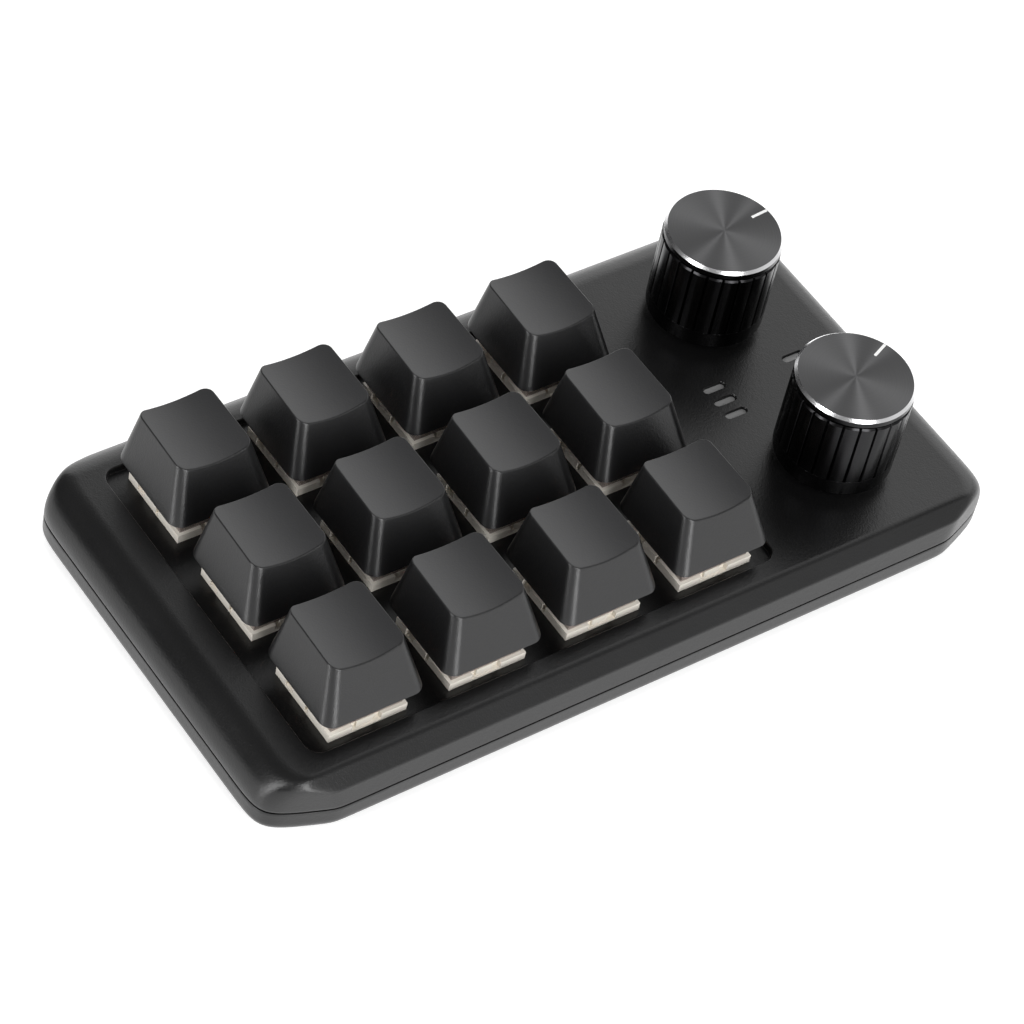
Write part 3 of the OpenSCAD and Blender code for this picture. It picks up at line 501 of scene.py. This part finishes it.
def cap_surface():
    """Rows from the skirt's inner edge, round the skirt, up the sides, over a small rounding
    and in across the dish to the middle of the top."""
    t_top = meet_dish()

    def side(t):
        ring = cap_ring(t)
        return at_level(ring, cap_height(t, ring[:, 1]))

    edge = side(t_top)
    below = side(t_top - CAP_EDGE / CAP_H_FRONT)
    inner = cap_ring(t_top, inset=CAP_EDGE)
    inner = at_level(inner, dish_height(inner[:, 0], inner[:, 1]))
    sides = [side(t_top * k) for k in np.linspace(0.03, 0.93, 12)]
    for inset, z in ((0.06, 0.06), (0.2, 0.0)):
        sides.insert(0, at_level(cap_ring(0, inset=inset), z))
    sides += [(1 - k) ** 2 * below + 2 * k * (1 - k) * edge + k ** 2 * inner
              for k in np.linspace(0, 1, 9)]
    centre = np.array([0, CAP_SHIFT])
    top = [inner]
    for k in np.linspace(1, 0, 16)[1:]:
        ring = centre + (inner[:, :2] - centre) * k
        top.append(at_level(ring, dish_height(ring[:, 0], ring[:, 1])))
    return sides, top


def cross_loop(length, x_blade, y_blade):
    """Outline of a plus sign, counter-clockwise."""
    a, bx, by = length / 2, x_blade / 2, y_blade / 2
    return np.array([(a, -bx), (a, bx), (by, bx), (by, a), (-by, a), (-by, bx), (-a, bx), (-a, -bx),
                     (-by, -bx), (-by, -a), (by, -a), (by, -bx)])


def make_keycap(key, x, y, side_material, lit_top_material):
    """Outer surface, hollow inside of even wall, and the post with its cross-shaped socket."""
    skin = Skin()
    sides, top = cap_surface()
    roof_t = 1 - CAP_ROOF / CAP_H_FRONT
    inside_rows = []
    for t in np.linspace(roof_t, 0, 5):
        ring = cap_ring(t, inset=CAP_WALL)
        inside_rows.append(at_level(ring, cap_height(t, ring[:, 1])))
    place = np.array([x, y, CAP_FLOOR])
    skin.grid(np.array(inside_rows + sides) + place)
    # The dished top takes the second material: the cap plastic painted lighter for the light that
    # falls on it from above.
    skin.grid(np.array(top) + place, mark=1)
    post = circle_loop(0, 0, POST_R, 32)
    cross = cross_loop(*POST_CROSS)
    z_socket = Z_POST + POST_DEEP
    roof = inside_rows[0]
    z_roof = roof[:, 2].mean()
    flat_roof = at_level(roof[:, :2] * 0.97 + [0, 0.03 * CAP_SHIFT * roof_t], z_roof)
    skin.grid(np.array([flat_roof, roof]) + place)
    skin.flat([flat_roof[:, :2] + place[:2], post + place[:2]], z_roof + CAP_FLOOR, up=False)
    skin.grid(np.array([at_level(post, z_roof), at_level(post, Z_POST)]) + place, flip=True)
    skin.flat([post + place[:2], cross + place[:2]], Z_POST + CAP_FLOOR, up=False)
    skin.grid(np.array([at_level(cross, Z_POST), at_level(cross, z_socket)]) + place, flip=True)
    skin.flat([cross + place[:2]], z_socket + CAP_FLOOR, up=False)
    piece = skin.piece("cap_" + key, [side_material, lit_top_material], "keycap_plastic", sharp=50)
    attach(piece, "key_" + key)
    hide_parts("keycap_" + key)


# ---- Key springs ----
SPRING_TURNS = 9
WIRE_R, WIRE_ROOM = 0.22, 0.02
TURN_STEPS, WIRE_SIDES = 16, 6


def make_spring(key, material):
    """A wire swept along a helix whose first and last turns lie nearly flat, closed at both ends by
    a disc. It fills the height of the spring's node and stands on its foot."""
    low, high = box_mm("spring_" + key)
    middle = (low + high) / 2
    height = high[2] - low[2]
    coil_r = (high[0] - low[0]) / 2 - WIRE_R - WIRE_ROOM
    t = np.linspace(0, 1, SPRING_TURNS * TURN_STEPS + 1)
    turn = 2 * math.pi * SPRING_TURNS * t
    rise = np.interp(t, [0, 1 / SPRING_TURNS, 1 - 1 / SPRING_TURNS, 1],
                     [0, 2.2 * WIRE_R, height - 4.4 * WIRE_R, height - 2.2 * WIRE_R])
    out = np.column_stack([np.cos(turn), np.sin(turn), np.zeros(len(t))])
    up = np.array([0, 0, 1.0])
    spine = out * coil_r + np.outer(rise + 1.1 * WIRE_R, up) + [middle[0], middle[1], low[2]]
    a = np.linspace(0, 2 * math.pi, WIRE_SIDES, endpoint=False)
    wire = [out * math.cos(k) - up * math.sin(k) for k in a]
    rows = np.stack([spine + WIRE_R * w for w in wire], axis=1)
    skin = Skin()
    skin.grid(rows)
    for row, flip in ((rows[0], True), (rows[-1], False)):
        skin.grid([row, np.repeat(row.mean(axis=0)[None], len(row), axis=0)], flip=flip)
    piece = skin.piece("coil_" + key, [material], "spring_steel", sharp=70)
    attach(piece, "case")
    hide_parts("spring_" + key)
    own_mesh(piece)


# ---- Knobs ----
FLUTES = 23
FLUTE_STEP = 2 * math.pi / FLUTES
FLUTE_HALF, FLUTE_DEPTH = 0.24, 0.36
RIB_CROWN, RIB_CHAMFER = 0.1, 0.3
PAINT_UP, PAINT_DOWN = 0.03, 0.2
KNOB_H = KNOB_HIGH[2] - KNOB_LOW[2] - PAINT_UP
RIM = 0.45
RING, RING_IN = 1.0, 0.1
RING_GROOVE, GROOVE_IN = 0.4, 0.75
BAND, BAND_IN = 3.1, 0.04
SHELL, SHELL_ROOF = 1.8, 2.5
POINTER = {"back": 5.0, "front": 22.0}  # degrees from +X
POINTER_L, POINTER_W, POINTER_R = 3.4, 0.5, 0.1
FLUTE_TURN = {"back": -7.5, "front": -3.1}  # degrees
SIDE, FACE, CUT = 0, 1, 2


def flute_columns():
    """Angles round a knob: close together in and beside each flute, wider across each rib."""
    w = FLUTE_HALF / KNOB_R
    offsets = np.array([-1.5, -1.0, -0.6, -0.25, 0, 0.25, 0.6, 1.0, 1.5]) * w
    across = np.linspace(1.5 * w, FLUTE_STEP - 1.5 * w, 9)[1:-1]
    one = np.concatenate([offsets, across])
    return np.concatenate([one + (i + 0.5) * FLUTE_STEP for i in range(FLUTES)])


def flute_cut(angle, depth):
    """Depth of the side below the round at each angle: a V at each flute, and ribs that crown a
    little."""
    off = angle % FLUTE_STEP - FLUTE_STEP / 2
    arc = np.abs(off) * KNOB_R
    groove = np.clip(1 - arc / FLUTE_HALF, 0, 1)
    crown = RIB_CROWN * (1 - np.cos(math.pi * (1 - arc / (FLUTE_STEP / 2 * KNOB_R)))) / 2
    return depth * groove + crown * min(1.0, depth / FLUTE_DEPTH)


def revolve(profile, angles, turned):
    """Rows of [radius, height] points turned about Z, each less its row's own flute depth. The
    flutes are laid out along angles and drawn at turned, the same list turned by one angle."""
    rows = []
    for radius, z, depth in profile:
        r = radius - (flute_cut(angles, depth) if depth else 0)
        rows.append(at_level(np.column_stack([r * np.cos(turned), r * np.sin(turned)]), z))
    return np.array(rows)


def make_knob(which, side, face, cut):
    """A turned profile: plain band, fluted body with chamfered ribs, groove, ring, bright rim and
    level face, closed by its bore and foot."""
    skin = Skin()
    angles = flute_columns()
    turned = angles + math.radians(FLUTE_TURN[which])
    place = np.array([KNOB_X, KNOB_Y[which], KNOB_LOW[2]])
    ring_low = KNOB_H - RIM - RING
    rib_top = ring_low - RING_GROOVE
    z_roof = KNOB_H - SHELL_ROOF
    groove_r, bore = KNOB_R - GROOVE_IN, KNOB_R - SHELL
    band_r, ring_r, rib_r = KNOB_R - BAND_IN, KNOB_R - RING_IN, KNOB_R - 0.01
    face_r = ring_r - RIM
    d = FLUTE_DEPTH

    def put(profile, mark):
        skin.grid(revolve(profile, angles, turned) + place, mark=mark)

    put([(bore, 0, 0), (KNOB_R - 0.3, 0, 0), (KNOB_R - 0.12, 0.06, 0), (band_r, 0.3, 0),
         (band_r, BAND - 0.02, 0), (band_r, BAND, d), (KNOB_R, BAND + 0.12, d),
         (KNOB_R, (BAND + rib_top) / 2, d), (rib_r, rib_top - RIB_CHAMFER, d),
         (rib_r - RIB_CHAMFER, rib_top, d * 0.45), (groove_r, rib_top, 0), (groove_r, ring_low, 0),
         (KNOB_R - 0.22, ring_low, 0), (KNOB_R - 0.12, ring_low + 0.08, 0),
         (ring_r, ring_low + 0.3, 0), (ring_r, ring_low + RING, 0)], SIDE)
    put([(ring_r, ring_low + RING, 0), (face_r, KNOB_H, 0)], CUT)
    put([(face_r * k, KNOB_H, 0) for k in np.linspace(1, 0, 13)], FACE)
    put([(0, z_roof, 0), (bore, z_roof, 0), (bore, 0, 0)], SIDE)
    piece = skin.piece("knob_" + which + "_metal", [side, face, cut], "knob_metal", sharp=30)
    add_turning_uv(piece, place)
    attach(piece, "knob_" + which)
    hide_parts("knob_shell_" + which)
    return face_r, place


def add_turning_uv(piece, place):
    """UV map whose U goes round the knob's axis and V goes outwards and down the side, so the
    lathe's brushing follows it. Each face is unwrapped about its own middle, so none jumps at the
    seam or the axis."""
    mesh = piece.data
    loops, faces = len(mesh.loops), len(mesh.polygons)
    index, total = np.empty(loops, np.int32), np.empty(faces, np.int32)
    mesh.loops.foreach_get("vertex_index", index)
    mesh.polygons.foreach_get("loop_total", total)
    co, middle = np.empty(len(mesh.vertices) * 3), np.empty(faces * 3)
    mesh.vertices.foreach_get("co", co)
    mesh.polygons.foreach_get("center", middle)
    co = co.reshape(-1, 3)[index] / MM - place
    middle = np.repeat(middle.reshape(-1, 3) / MM - place, total, axis=0)
    home = np.arctan2(middle[:, 1], middle[:, 0])
    off = (np.arctan2(co[:, 1], co[:, 0]) - home + math.pi) % (2 * math.pi) - math.pi
    radius = np.hypot(co[:, 0], co[:, 1])
    turn = home + np.where(radius < 1e-3, 0, off)
    layer = mesh.uv_layers.new(name="turning")
    down = (radius + KNOB_H - co[:, 2]) / KNOB_R
    layer.data.foreach_set("uv", np.column_stack([turn / (2 * math.pi) + 0.5, down]).ravel())


def make_pointer(which, face_r, place, paint):
    """A line of white paint that stands a hair proud of the face, from the rim inwards, with a soft
    edge and its underside sunk in the metal."""
    skin = Skin()
    a = math.radians(POINTER[which])
    along, across = np.array([math.cos(a), math.sin(a)]), np.array([-math.sin(a), math.cos(a)])
    local = rounded_loop(face_r - 0.06 - POINTER_L / 2, 0, POINTER_L, POINTER_W, POINTER_R, 4)
    outline = place[:2] + local[:, :1] * along + local[:, 1:] * across
    middle = outline.mean(axis=0)
    top = middle + (outline - middle) * 0.985
    z = place[2] + KNOB_H
    skin.grid([at_level(outline, z - PAINT_DOWN), at_level(outline, z + PAINT_UP * 0.5),
               at_level(top, z + PAINT_UP)])
    skin.flat([top], z + PAINT_UP)
    skin.flat([outline], z - PAINT_DOWN, up=False)
    piece = skin.piece("pointer_" + which, [paint], "knob_metal")
    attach(piece, "knob_" + which)


# ---- Materials ----
def new_material(name):
    """A material with nodes, its tree and its shader."""
    material = bpy.data.materials.new(name)
    material.use_nodes = True
    tree = material.node_tree
    return material, tree, tree.nodes["Principled BSDF"]


def add(tree, kind, **values):
    """A new node with the given properties."""
    node = tree.nodes.new(kind)
    for key, value in values.items():
        setattr(node, key, value)
    return node


def feed(tree, socket, value):
    """Links an output to a socket, or gives the socket a number."""
    if isinstance(value, bpy.types.NodeSocket):
        tree.links.new(value, socket)
    else:
        socket.default_value = value


def maths(tree, operation, a, b):
    """Maths node fed by two outputs or numbers."""
    node = add(tree, "ShaderNodeMath", operation=operation)
    feed(tree, node.inputs[0], a)
    feed(tree, node.inputs[1], b)
    return node.outputs[0]


def noise(tree, place, scale, detail, rough=0.5):
    """Noise over a place, with its scale from an output or a number."""
    node = add(tree, "ShaderNodeTexNoise")
    tree.links.new(place, node.inputs["Vector"])
    feed(tree, node.inputs["Scale"], scale)
    node.inputs["Detail"].default_value = detail
    node.inputs["Roughness"].default_value = rough
    return node.outputs["Fac"]


def ramp(tree, value, start, end, low, high):
    """Smooth change from low to high as a value goes from start to end."""
    node = add(tree, "ShaderNodeMapRange", interpolation_type="SMOOTHSTEP")
    node.inputs["From Min"].default_value = start
    node.inputs["From Max"].default_value = end
    node.inputs["To Min"].default_value = low
    node.inputs["To Max"].default_value = high
    tree.links.new(value, node.inputs["Value"])
    return node.outputs["Result"]


GRAIN_SIZE, COARSE_SHARE = 0.2, 0.4
COARSE_SCALE = 0.36  # of the fine noise's scale
PATCH_SCALE = 60.0  # patches of gloss, per metre


def grain_group():
    """Shader group: moulded grain. Two sizes of noise on Object coordinates give a height,
    and slow patches give a mask for small changes of gloss."""
    group = bpy.data.node_groups.new("moulded_grain", "ShaderNodeTree")
    for name, way, start in (("Grain Size", "INPUT", GRAIN_SIZE),
                             ("Coarse Share", "INPUT", COARSE_SHARE),
                             ("Height", "OUTPUT", 0.0), ("Patches", "OUTPUT", 0.0)):
        socket = group.interface.new_socket(name=name, in_out=way, socket_type="NodeSocketFloat")
        socket.default_value = start
    enter, leave = add(group, "NodeGroupInput"), add(group, "NodeGroupOutput")
    place = add(group, "ShaderNodeTexCoord").outputs["Object"]
    scale = maths(group, "DIVIDE", 1 / MM, enter.outputs["Grain Size"])
    fine = noise(group, place, scale, 2.0, 0.6)
    coarse = noise(group, place, maths(group, "MULTIPLY", scale, COARSE_SCALE), 1.0)
    mix = add(group, "ShaderNodeMix")
    group.links.new(enter.outputs["Coarse Share"], mix.inputs["Factor"])
    group.links.new(fine, mix.inputs["A"])
    group.links.new(coarse, mix.inputs["B"])
    group.links.new(mix.outputs["Result"], leave.inputs["Height"])
    group.links.new(noise(group, place, PATCH_SCALE, 3.0), leave.inputs["Patches"])
    return group


GRAIN = grain_group()


def grained(tree, size, share=COARSE_SHARE):
    """The grain group's outputs, with the grain's size in millimetres."""
    grain = add(tree, "ShaderNodeGroup", node_tree=GRAIN)
    grain.inputs["Grain Size"].default_value = size
    grain.inputs["Coarse Share"].default_value = share
    return grain.outputs


def vary_colour(tree, shader, by, dark, light):
    """Colour between two tones, by an output from 0 to 1."""
    mix = add(tree, "ShaderNodeMix", data_type="RGBA")
    mix.inputs["A"].default_value = (*dark, 1)
    mix.inputs["B"].default_value = (*light, 1)
    tree.links.new(by, mix.inputs["Factor"])
    tree.links.new(mix.outputs["Result"], shader.inputs["Base Color"])


def vary_gloss(tree, shader, by, low, high):
    """Roughness between two values, by an output from 0 to 1."""
    gloss = add(tree, "ShaderNodeMapRange")
    gloss.inputs["To Min"].default_value = low
    gloss.inputs["To Max"].default_value = high
    tree.links.new(by, gloss.inputs["Value"])
    tree.links.new(gloss.outputs["Result"], shader.inputs["Roughness"])


def emboss(tree, shader, height, depth):
    """Bump from a height output, with its depth in millimetres."""
    bump = add(tree, "ShaderNodeBump")
    bump.inputs["Distance"].default_value = depth * MM
    tree.links.new(height, bump.inputs["Height"])
    tree.links.new(bump.outputs["Normal"], shader.inputs["Normal"])


def plastic(name, dark, light, rough, grain_size, depth, coarse=COARSE_SHARE, spread=0.06):
    """Moulded plastic: colour and gloss wander a little between patches, and the grain is a
    bump."""
    material, tree, shader = new_material(name)
    grain = grained(tree, grain_size, coarse)
    vary_colour(tree, shader, grain["Patches"], dark, light)
    vary_gloss(tree, shader, grain["Patches"], rough - spread, rough + spread)
    emboss(tree, shader, grain["Height"], depth)
    return material


METAL_GRAIN = 0.4  # millimetres


def metal(name, colour, rough, brushed=0.0, depth=0.004):
    """Metal with faint streaks in its gloss and a very fine bump."""
    material, tree, shader = new_material(name)
    shader.inputs["Metallic"].default_value = 1.0
    shader.inputs["Base Color"].default_value = (*colour, 1)
    shader.inputs["Anisotropic"].default_value = brushed
    grain = grained(tree, METAL_GRAIN)
    vary_gloss(tree, shader, grain["Patches"], rough * 0.8, rough * 1.2)
    emboss(tree, shader, grain["Height"], depth)
    return material


def turned_metal(name, colour, rough, brushed, line_pitch, line_depth):
    """Black anodised metal off the lathe: fine rings from the knob's own radius, and a gloss
    stretched across the rings along the turning UV map."""
    material, tree, shader = new_material(name)
    shader.inputs["Metallic"].default_value = 1.0
    shader.inputs["Roughness"].default_value = rough
    shader.inputs["Anisotropic"].default_value = brushed
    shader.inputs["Anisotropic Rotation"].default_value = 0.25
    uv = add(tree, "ShaderNodeUVMap", uv_map="turning")
    split = add(tree, "ShaderNodeSeparateXYZ")
    tree.links.new(uv.outputs["UV"], split.inputs[0])
    rings = add(tree, "ShaderNodeTexNoise", noise_dimensions="1D")
    rings.inputs["Scale"].default_value = KNOB_R / line_pitch
    rings.inputs["Detail"].default_value = 3.0
    tree.links.new(split.outputs["Y"], rings.inputs["W"])
    vary_colour(tree, shader, rings.outputs["Fac"], [c * 0.8 for c in colour],
                [c * 1.2 for c in colour])
    emboss(tree, shader, rings.outputs["Fac"], line_depth)
    tangent = add(tree, "ShaderNodeTangent", direction_type="UV_MAP", uv_map="turning")
    tree.links.new(tangent.outputs["Tangent"], shader.inputs["Tangent"])
    return material


def clear_plastic(name, colour, rough, see_through):
    """Tinted clear moulding with slightly uneven gloss."""
    material = plastic(name, colour, [c * 1.1 for c in colour], rough, 0.5, 0.002, spread=0.03)
    shader = material.node_tree.nodes["Principled BSDF"]
    shader.inputs["Transmission Weight"].default_value = see_through
    shader.inputs["IOR"].default_value = 1.5
    return material


CASE = plastic("case_black", (0.003, 0.003, 0.0032), (0.006, 0.006, 0.0062), 0.31, 0.30, 0.045,
               coarse=0.3)
CAP = plastic("cap_black", (0.008, 0.008, 0.0084), (0.011, 0.011, 0.0115), 0.33, 0.30, 0.045,
              coarse=0.3)
# Painted light: the cap tops are the sides' plastic in a lighter tone, which stands in for the
# sheen they catch from above; their higher roughness and finer grain are real.
LIT_CAP_TOP = plastic("cap_top_black_painted_lighter", (0.019, 0.019, 0.020), (0.024, 0.024, 0.025), 0.40, 0.30, 0.02,
                  coarse=0.3)
CREAM = plastic("cream", (0.86, 0.81, 0.72), (0.93, 0.88, 0.80), 0.38, 0.4, 0.006)
CLEAR = clear_plastic("clear_housing", (0.80, 0.66, 0.60), 0.2, 0.75)
STEM = plastic("stem_brown", (0.20, 0.075, 0.045), (0.26, 0.10, 0.06), 0.35, 0.3, 0.004)
PAD = plastic("smoky_pad", (0.20, 0.20, 0.20), (0.27, 0.27, 0.27), 0.4, 0.3, 0.006)
BOARD = plastic("board_green", (0.012, 0.06, 0.025), (0.02, 0.09, 0.04), 0.35, 0.5, 0.006)
RESIN = plastic("chip_resin", (0.02, 0.02, 0.02), (0.03, 0.03, 0.03), 0.6, 0.15, 0.01)
LED = plastic("led_package", (0.7, 0.68, 0.58), (0.8, 0.78, 0.68), 0.4, 0.3, 0.003)
RUBBER = plastic("rubber_black", (0.02, 0.02, 0.02), (0.03, 0.03, 0.03), 0.75, 0.3, 0.03)
CORE = plastic("core_black", (0.03, 0.03, 0.03), (0.04, 0.04, 0.04), 0.5, 0.3, 0.006)
PAINT = plastic("white_paint", (0.86, 0.86, 0.85), (0.92, 0.92, 0.91), 0.45, 0.12, 0.004)
STEEL = metal("plated_steel", (0.62, 0.62, 0.61), 0.32)
WIRE = metal("spring_wire", (0.6, 0.6, 0.61), 0.25)
CONTACT = metal("brass_contact", (0.75, 0.56, 0.26), 0.3)
OXIDE = metal("black_oxide", (0.09, 0.09, 0.09), 0.4)
SHAFT = metal("turned_shaft", (0.72, 0.72, 0.72), 0.3, brushed=0.4)
KNOB_SIDE = turned_metal("black_anodised", (0.024, 0.024, 0.025), 0.26, 0.3, 0.25, 0.004)
KNOB_FACE = turned_metal("turned_face", (0.115, 0.115, 0.117), 0.44, 0.94, 0.12, 0.0003)
CUT_METAL = metal("diamond_cut_edge", (0.86, 0.86, 0.87), 0.22, depth=0.010)

FINISHES = {
    "circuit_board": BOARD, "switch_bases": CREAM, "switch_tops": CLEAR, "switch_contacts": CONTACT,
    "light_guides": PAD, "indicator_leds": LED, "usb_socket": STEEL, "controller_chip": RESIN,
    "case_screws": OXIDE, "rubber_feet": RUBBER, "stem_": STEM, "spring_": WIRE, "knob_core_": CORE,
    "encoder_body_": STEEL, "encoder_rotor_": CONTACT, "encoder_shaft_": SHAFT, "keycap_": CAP,
    "top_case": CASE, "bottom_case": CASE, "knob_shell_": KNOB_SIDE,
}


def finish_nodes():
    """Gives every CAD node the material of its name's first words."""
    for name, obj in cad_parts.items():
        material = next(m for start, m in FINISHES.items() if name.startswith(start))
        obj.data.materials.clear()
        obj.data.materials.append(material)


# ---- Studio ----
SENSOR = 36.0
FOCAL_PIXELS, PICTURE_PIXELS = 3981.5, 1024.0
CAMERA_PLACE = (-0.30398, -0.31068, 0.48063)
CAMERA_TURN = (41.5883, -9.0290, -34.1533)  # degrees
FLOOR_HALF = 3.0
LIFT_NEAR, LIFT_FAR = 0.55, 1.0
LIFT_START, LIFT_END = 0.5, 1.3  # metres from the keypad
# Each light part of the studio: its direction, the cosines from there where its edge starts
# and ends, and the brightness on either side of that edge.
WALLS = ((0.766, -0.643, 0.0), -0.35, 0.4, 0.04, 0.72)
PATCH = ((0.74, 0.26, 0.62), 0.78, 0.98, 0, 1.15)
BACK_SCREEN = ((0.465, 0.862, 0.2), 0.86, 0.98, 0, 1.5)
CEILING = 0.20
CEILING_Z = (0.4, 0.7)  # heights between which the walls give way to the ceiling
WHITE_Z = (0.09, 0.15)  # heights between which the white horizon ends


def make_camera():
    """The photograph's view: from the front left, 48 degrees down, with the frame rolled."""
    data = bpy.data.cameras.new("camera")
    data.sensor_width = SENSOR
    data.lens = FOCAL_PIXELS * SENSOR / PICTURE_PIXELS
    camera = bpy.data.objects.new("camera", data)
    camera.location = CAMERA_PLACE
    camera.rotation_euler = Euler([math.radians(a) for a in CAMERA_TURN], "XYZ")
    bpy.context.scene.collection.objects.link(camera)
    bpy.context.scene.camera = camera


def softbox(name, azimuth, elevation, distance, size, power):
    """Flat lamp that faces the keypad from an azimuth and a height angle, in degrees."""
    data = bpy.data.lights.new(name, "AREA")
    data.shape = "RECTANGLE"
    data.size, data.size_y = size
    data.energy = power
    lamp = bpy.data.objects.new(name, data)
    a, e = math.radians(azimuth), math.radians(elevation)
    direction = Vector((math.cos(a) * math.cos(e), math.sin(a) * math.cos(e), math.sin(e)))
    lamp.location = direction * distance
    lamp.rotation_euler = direction.to_track_quat("Z", "Y").to_euler()
    bpy.context.scene.collection.objects.link(lamp)


def make_floor():
    """Satin white floor. Camera, glossy and transmitted rays see it lifted towards white, more so
    far away where the lamps don't reach, and the keypad's shadow stays on it."""
    material = bpy.data.materials.new("floor_white")
    material.use_nodes = True
    tree = material.node_tree
    tree.nodes.clear()
    satin = add(tree, "ShaderNodeBsdfPrincipled")
    satin.inputs["Base Color"].default_value = (0.8, 0.8, 0.8, 1)
    satin.inputs["Roughness"].default_value = 0.22
    path = add(tree, "ShaderNodeLightPath").outputs
    seen = maths(tree, "MAXIMUM", path["Is Camera Ray"], path["Is Glossy Ray"])
    seen = maths(tree, "MAXIMUM", seen, path["Is Transmission Ray"])
    away = add(tree, "ShaderNodeVectorMath", operation="LENGTH")
    tree.links.new(add(tree, "ShaderNodeTexCoord").outputs["Object"], away.inputs[0])
    level = ramp(tree, away.outputs["Value"], LIFT_START, LIFT_END, LIFT_NEAR, LIFT_FAR)
    lift = add(tree, "ShaderNodeEmission")
    tree.links.new(maths(tree, "MULTIPLY", seen, level), lift.inputs["Strength"])
    both = add(tree, "ShaderNodeAddShader")
    tree.links.new(satin.outputs[0], both.inputs[0])
    tree.links.new(lift.outputs[0], both.inputs[1])
    out = add(tree, "ShaderNodeOutputMaterial")
    tree.links.new(both.outputs[0], out.inputs["Surface"])
    mesh = bpy.data.meshes.new("floor")
    s = FLOOR_HALF
    mesh.from_pydata([(-s, -s, 0), (s, -s, 0), (s, s, 0), (-s, s, 0)], [], [(0, 1, 2, 3)])
    mesh.materials.append(material)
    floor = bpy.data.objects.new("floor", mesh)
    bpy.context.scene.collection.objects.link(floor)


def make_world():
    """A studio seen from inside: low walls that are bright to the front right and dark to the back
    left, a dim ceiling, a lit patch to the right and back, and a lit screen low at the back. Camera
    and transmitted rays see white everywhere, and glossy rays see that white near the horizon."""
    world = bpy.data.worlds.new("studio")
    bpy.context.scene.world = world
    world.use_nodes = True
    tree = world.node_tree
    background = tree.nodes["Background"]
    way = add(tree, "ShaderNodeTexCoord").outputs["Generated"]
    split = add(tree, "ShaderNodeSeparateXYZ")
    tree.links.new(way, split.inputs[0])
    height = split.outputs["Z"]

    def facing(direction, start, end, low, high):
        """Goes from low to high as the view turns towards a direction."""
        towards = add(tree, "ShaderNodeVectorMath", operation="DOT_PRODUCT")
        towards.inputs[1].default_value = direction
        tree.links.new(way, towards.inputs[0])
        return ramp(tree, towards.outputs["Value"], start, end, low, high)

    room = add(tree, "ShaderNodeMix")
    room.inputs["B"].default_value = CEILING
    tree.links.new(ramp(tree, height, *CEILING_Z, 0, 1), room.inputs["Factor"])
    tree.links.new(facing(*WALLS), room.inputs["A"])
    lit = maths(tree, "ADD", facing(*PATCH), facing(*BACK_SCREEN))
    level = maths(tree, "ADD", room.outputs["Result"], lit)
    path = add(tree, "ShaderNodeLightPath").outputs
    shine = maths(tree, "MULTIPLY", path["Is Glossy Ray"], ramp(tree, height, *WHITE_Z, 1, 0))
    direct = maths(tree, "MAXIMUM", path["Is Camera Ray"], path["Is Transmission Ray"])
    strength = add(tree, "ShaderNodeMix")
    strength.inputs["B"].default_value = 1.0
    tree.links.new(maths(tree, "MAXIMUM", direct, shine), strength.inputs["Factor"])
    tree.links.new(level, strength.inputs["A"])
    tree.links.new(strength.outputs["Result"], background.inputs["Strength"])
    background.inputs["Color"].default_value = (1, 1, 1, 1)


# ---- Put it together ----
make_camera()
make_world()
make_floor()
softbox("left_box", 184, 28, 1.2, (0.3, 1.25), 10.0)
softbox("front_box", 263, 28, 1.2, (0.4, 1.25), 12.0)
bpy.context.scene.view_settings.view_transform = "Standard"

finish_nodes()
case_top = make_top_case(CASE)
cut_with(case_top, socket_cutter())
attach(case_top, "case")
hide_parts("top_case")
case_bottom = make_bottom_case(CASE)
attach(case_bottom, "case")
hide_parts("bottom_case")
for row, key_y in zip(ROWS, KEY_Y):
    for column, key_x in zip(COLUMNS, KEY_X):
        make_keycap("%s_%d" % (row, column), key_x, key_y, CAP, LIT_CAP_TOP)
        make_spring("%s_%d" % (row, column), WIRE)
for knob in KNOBS:
    face_radius, knob_place = make_knob(knob, KNOB_SIDE, KNOB_FACE, CUT_METAL)
    make_pointer(knob, face_radius, knob_place, PAINT)
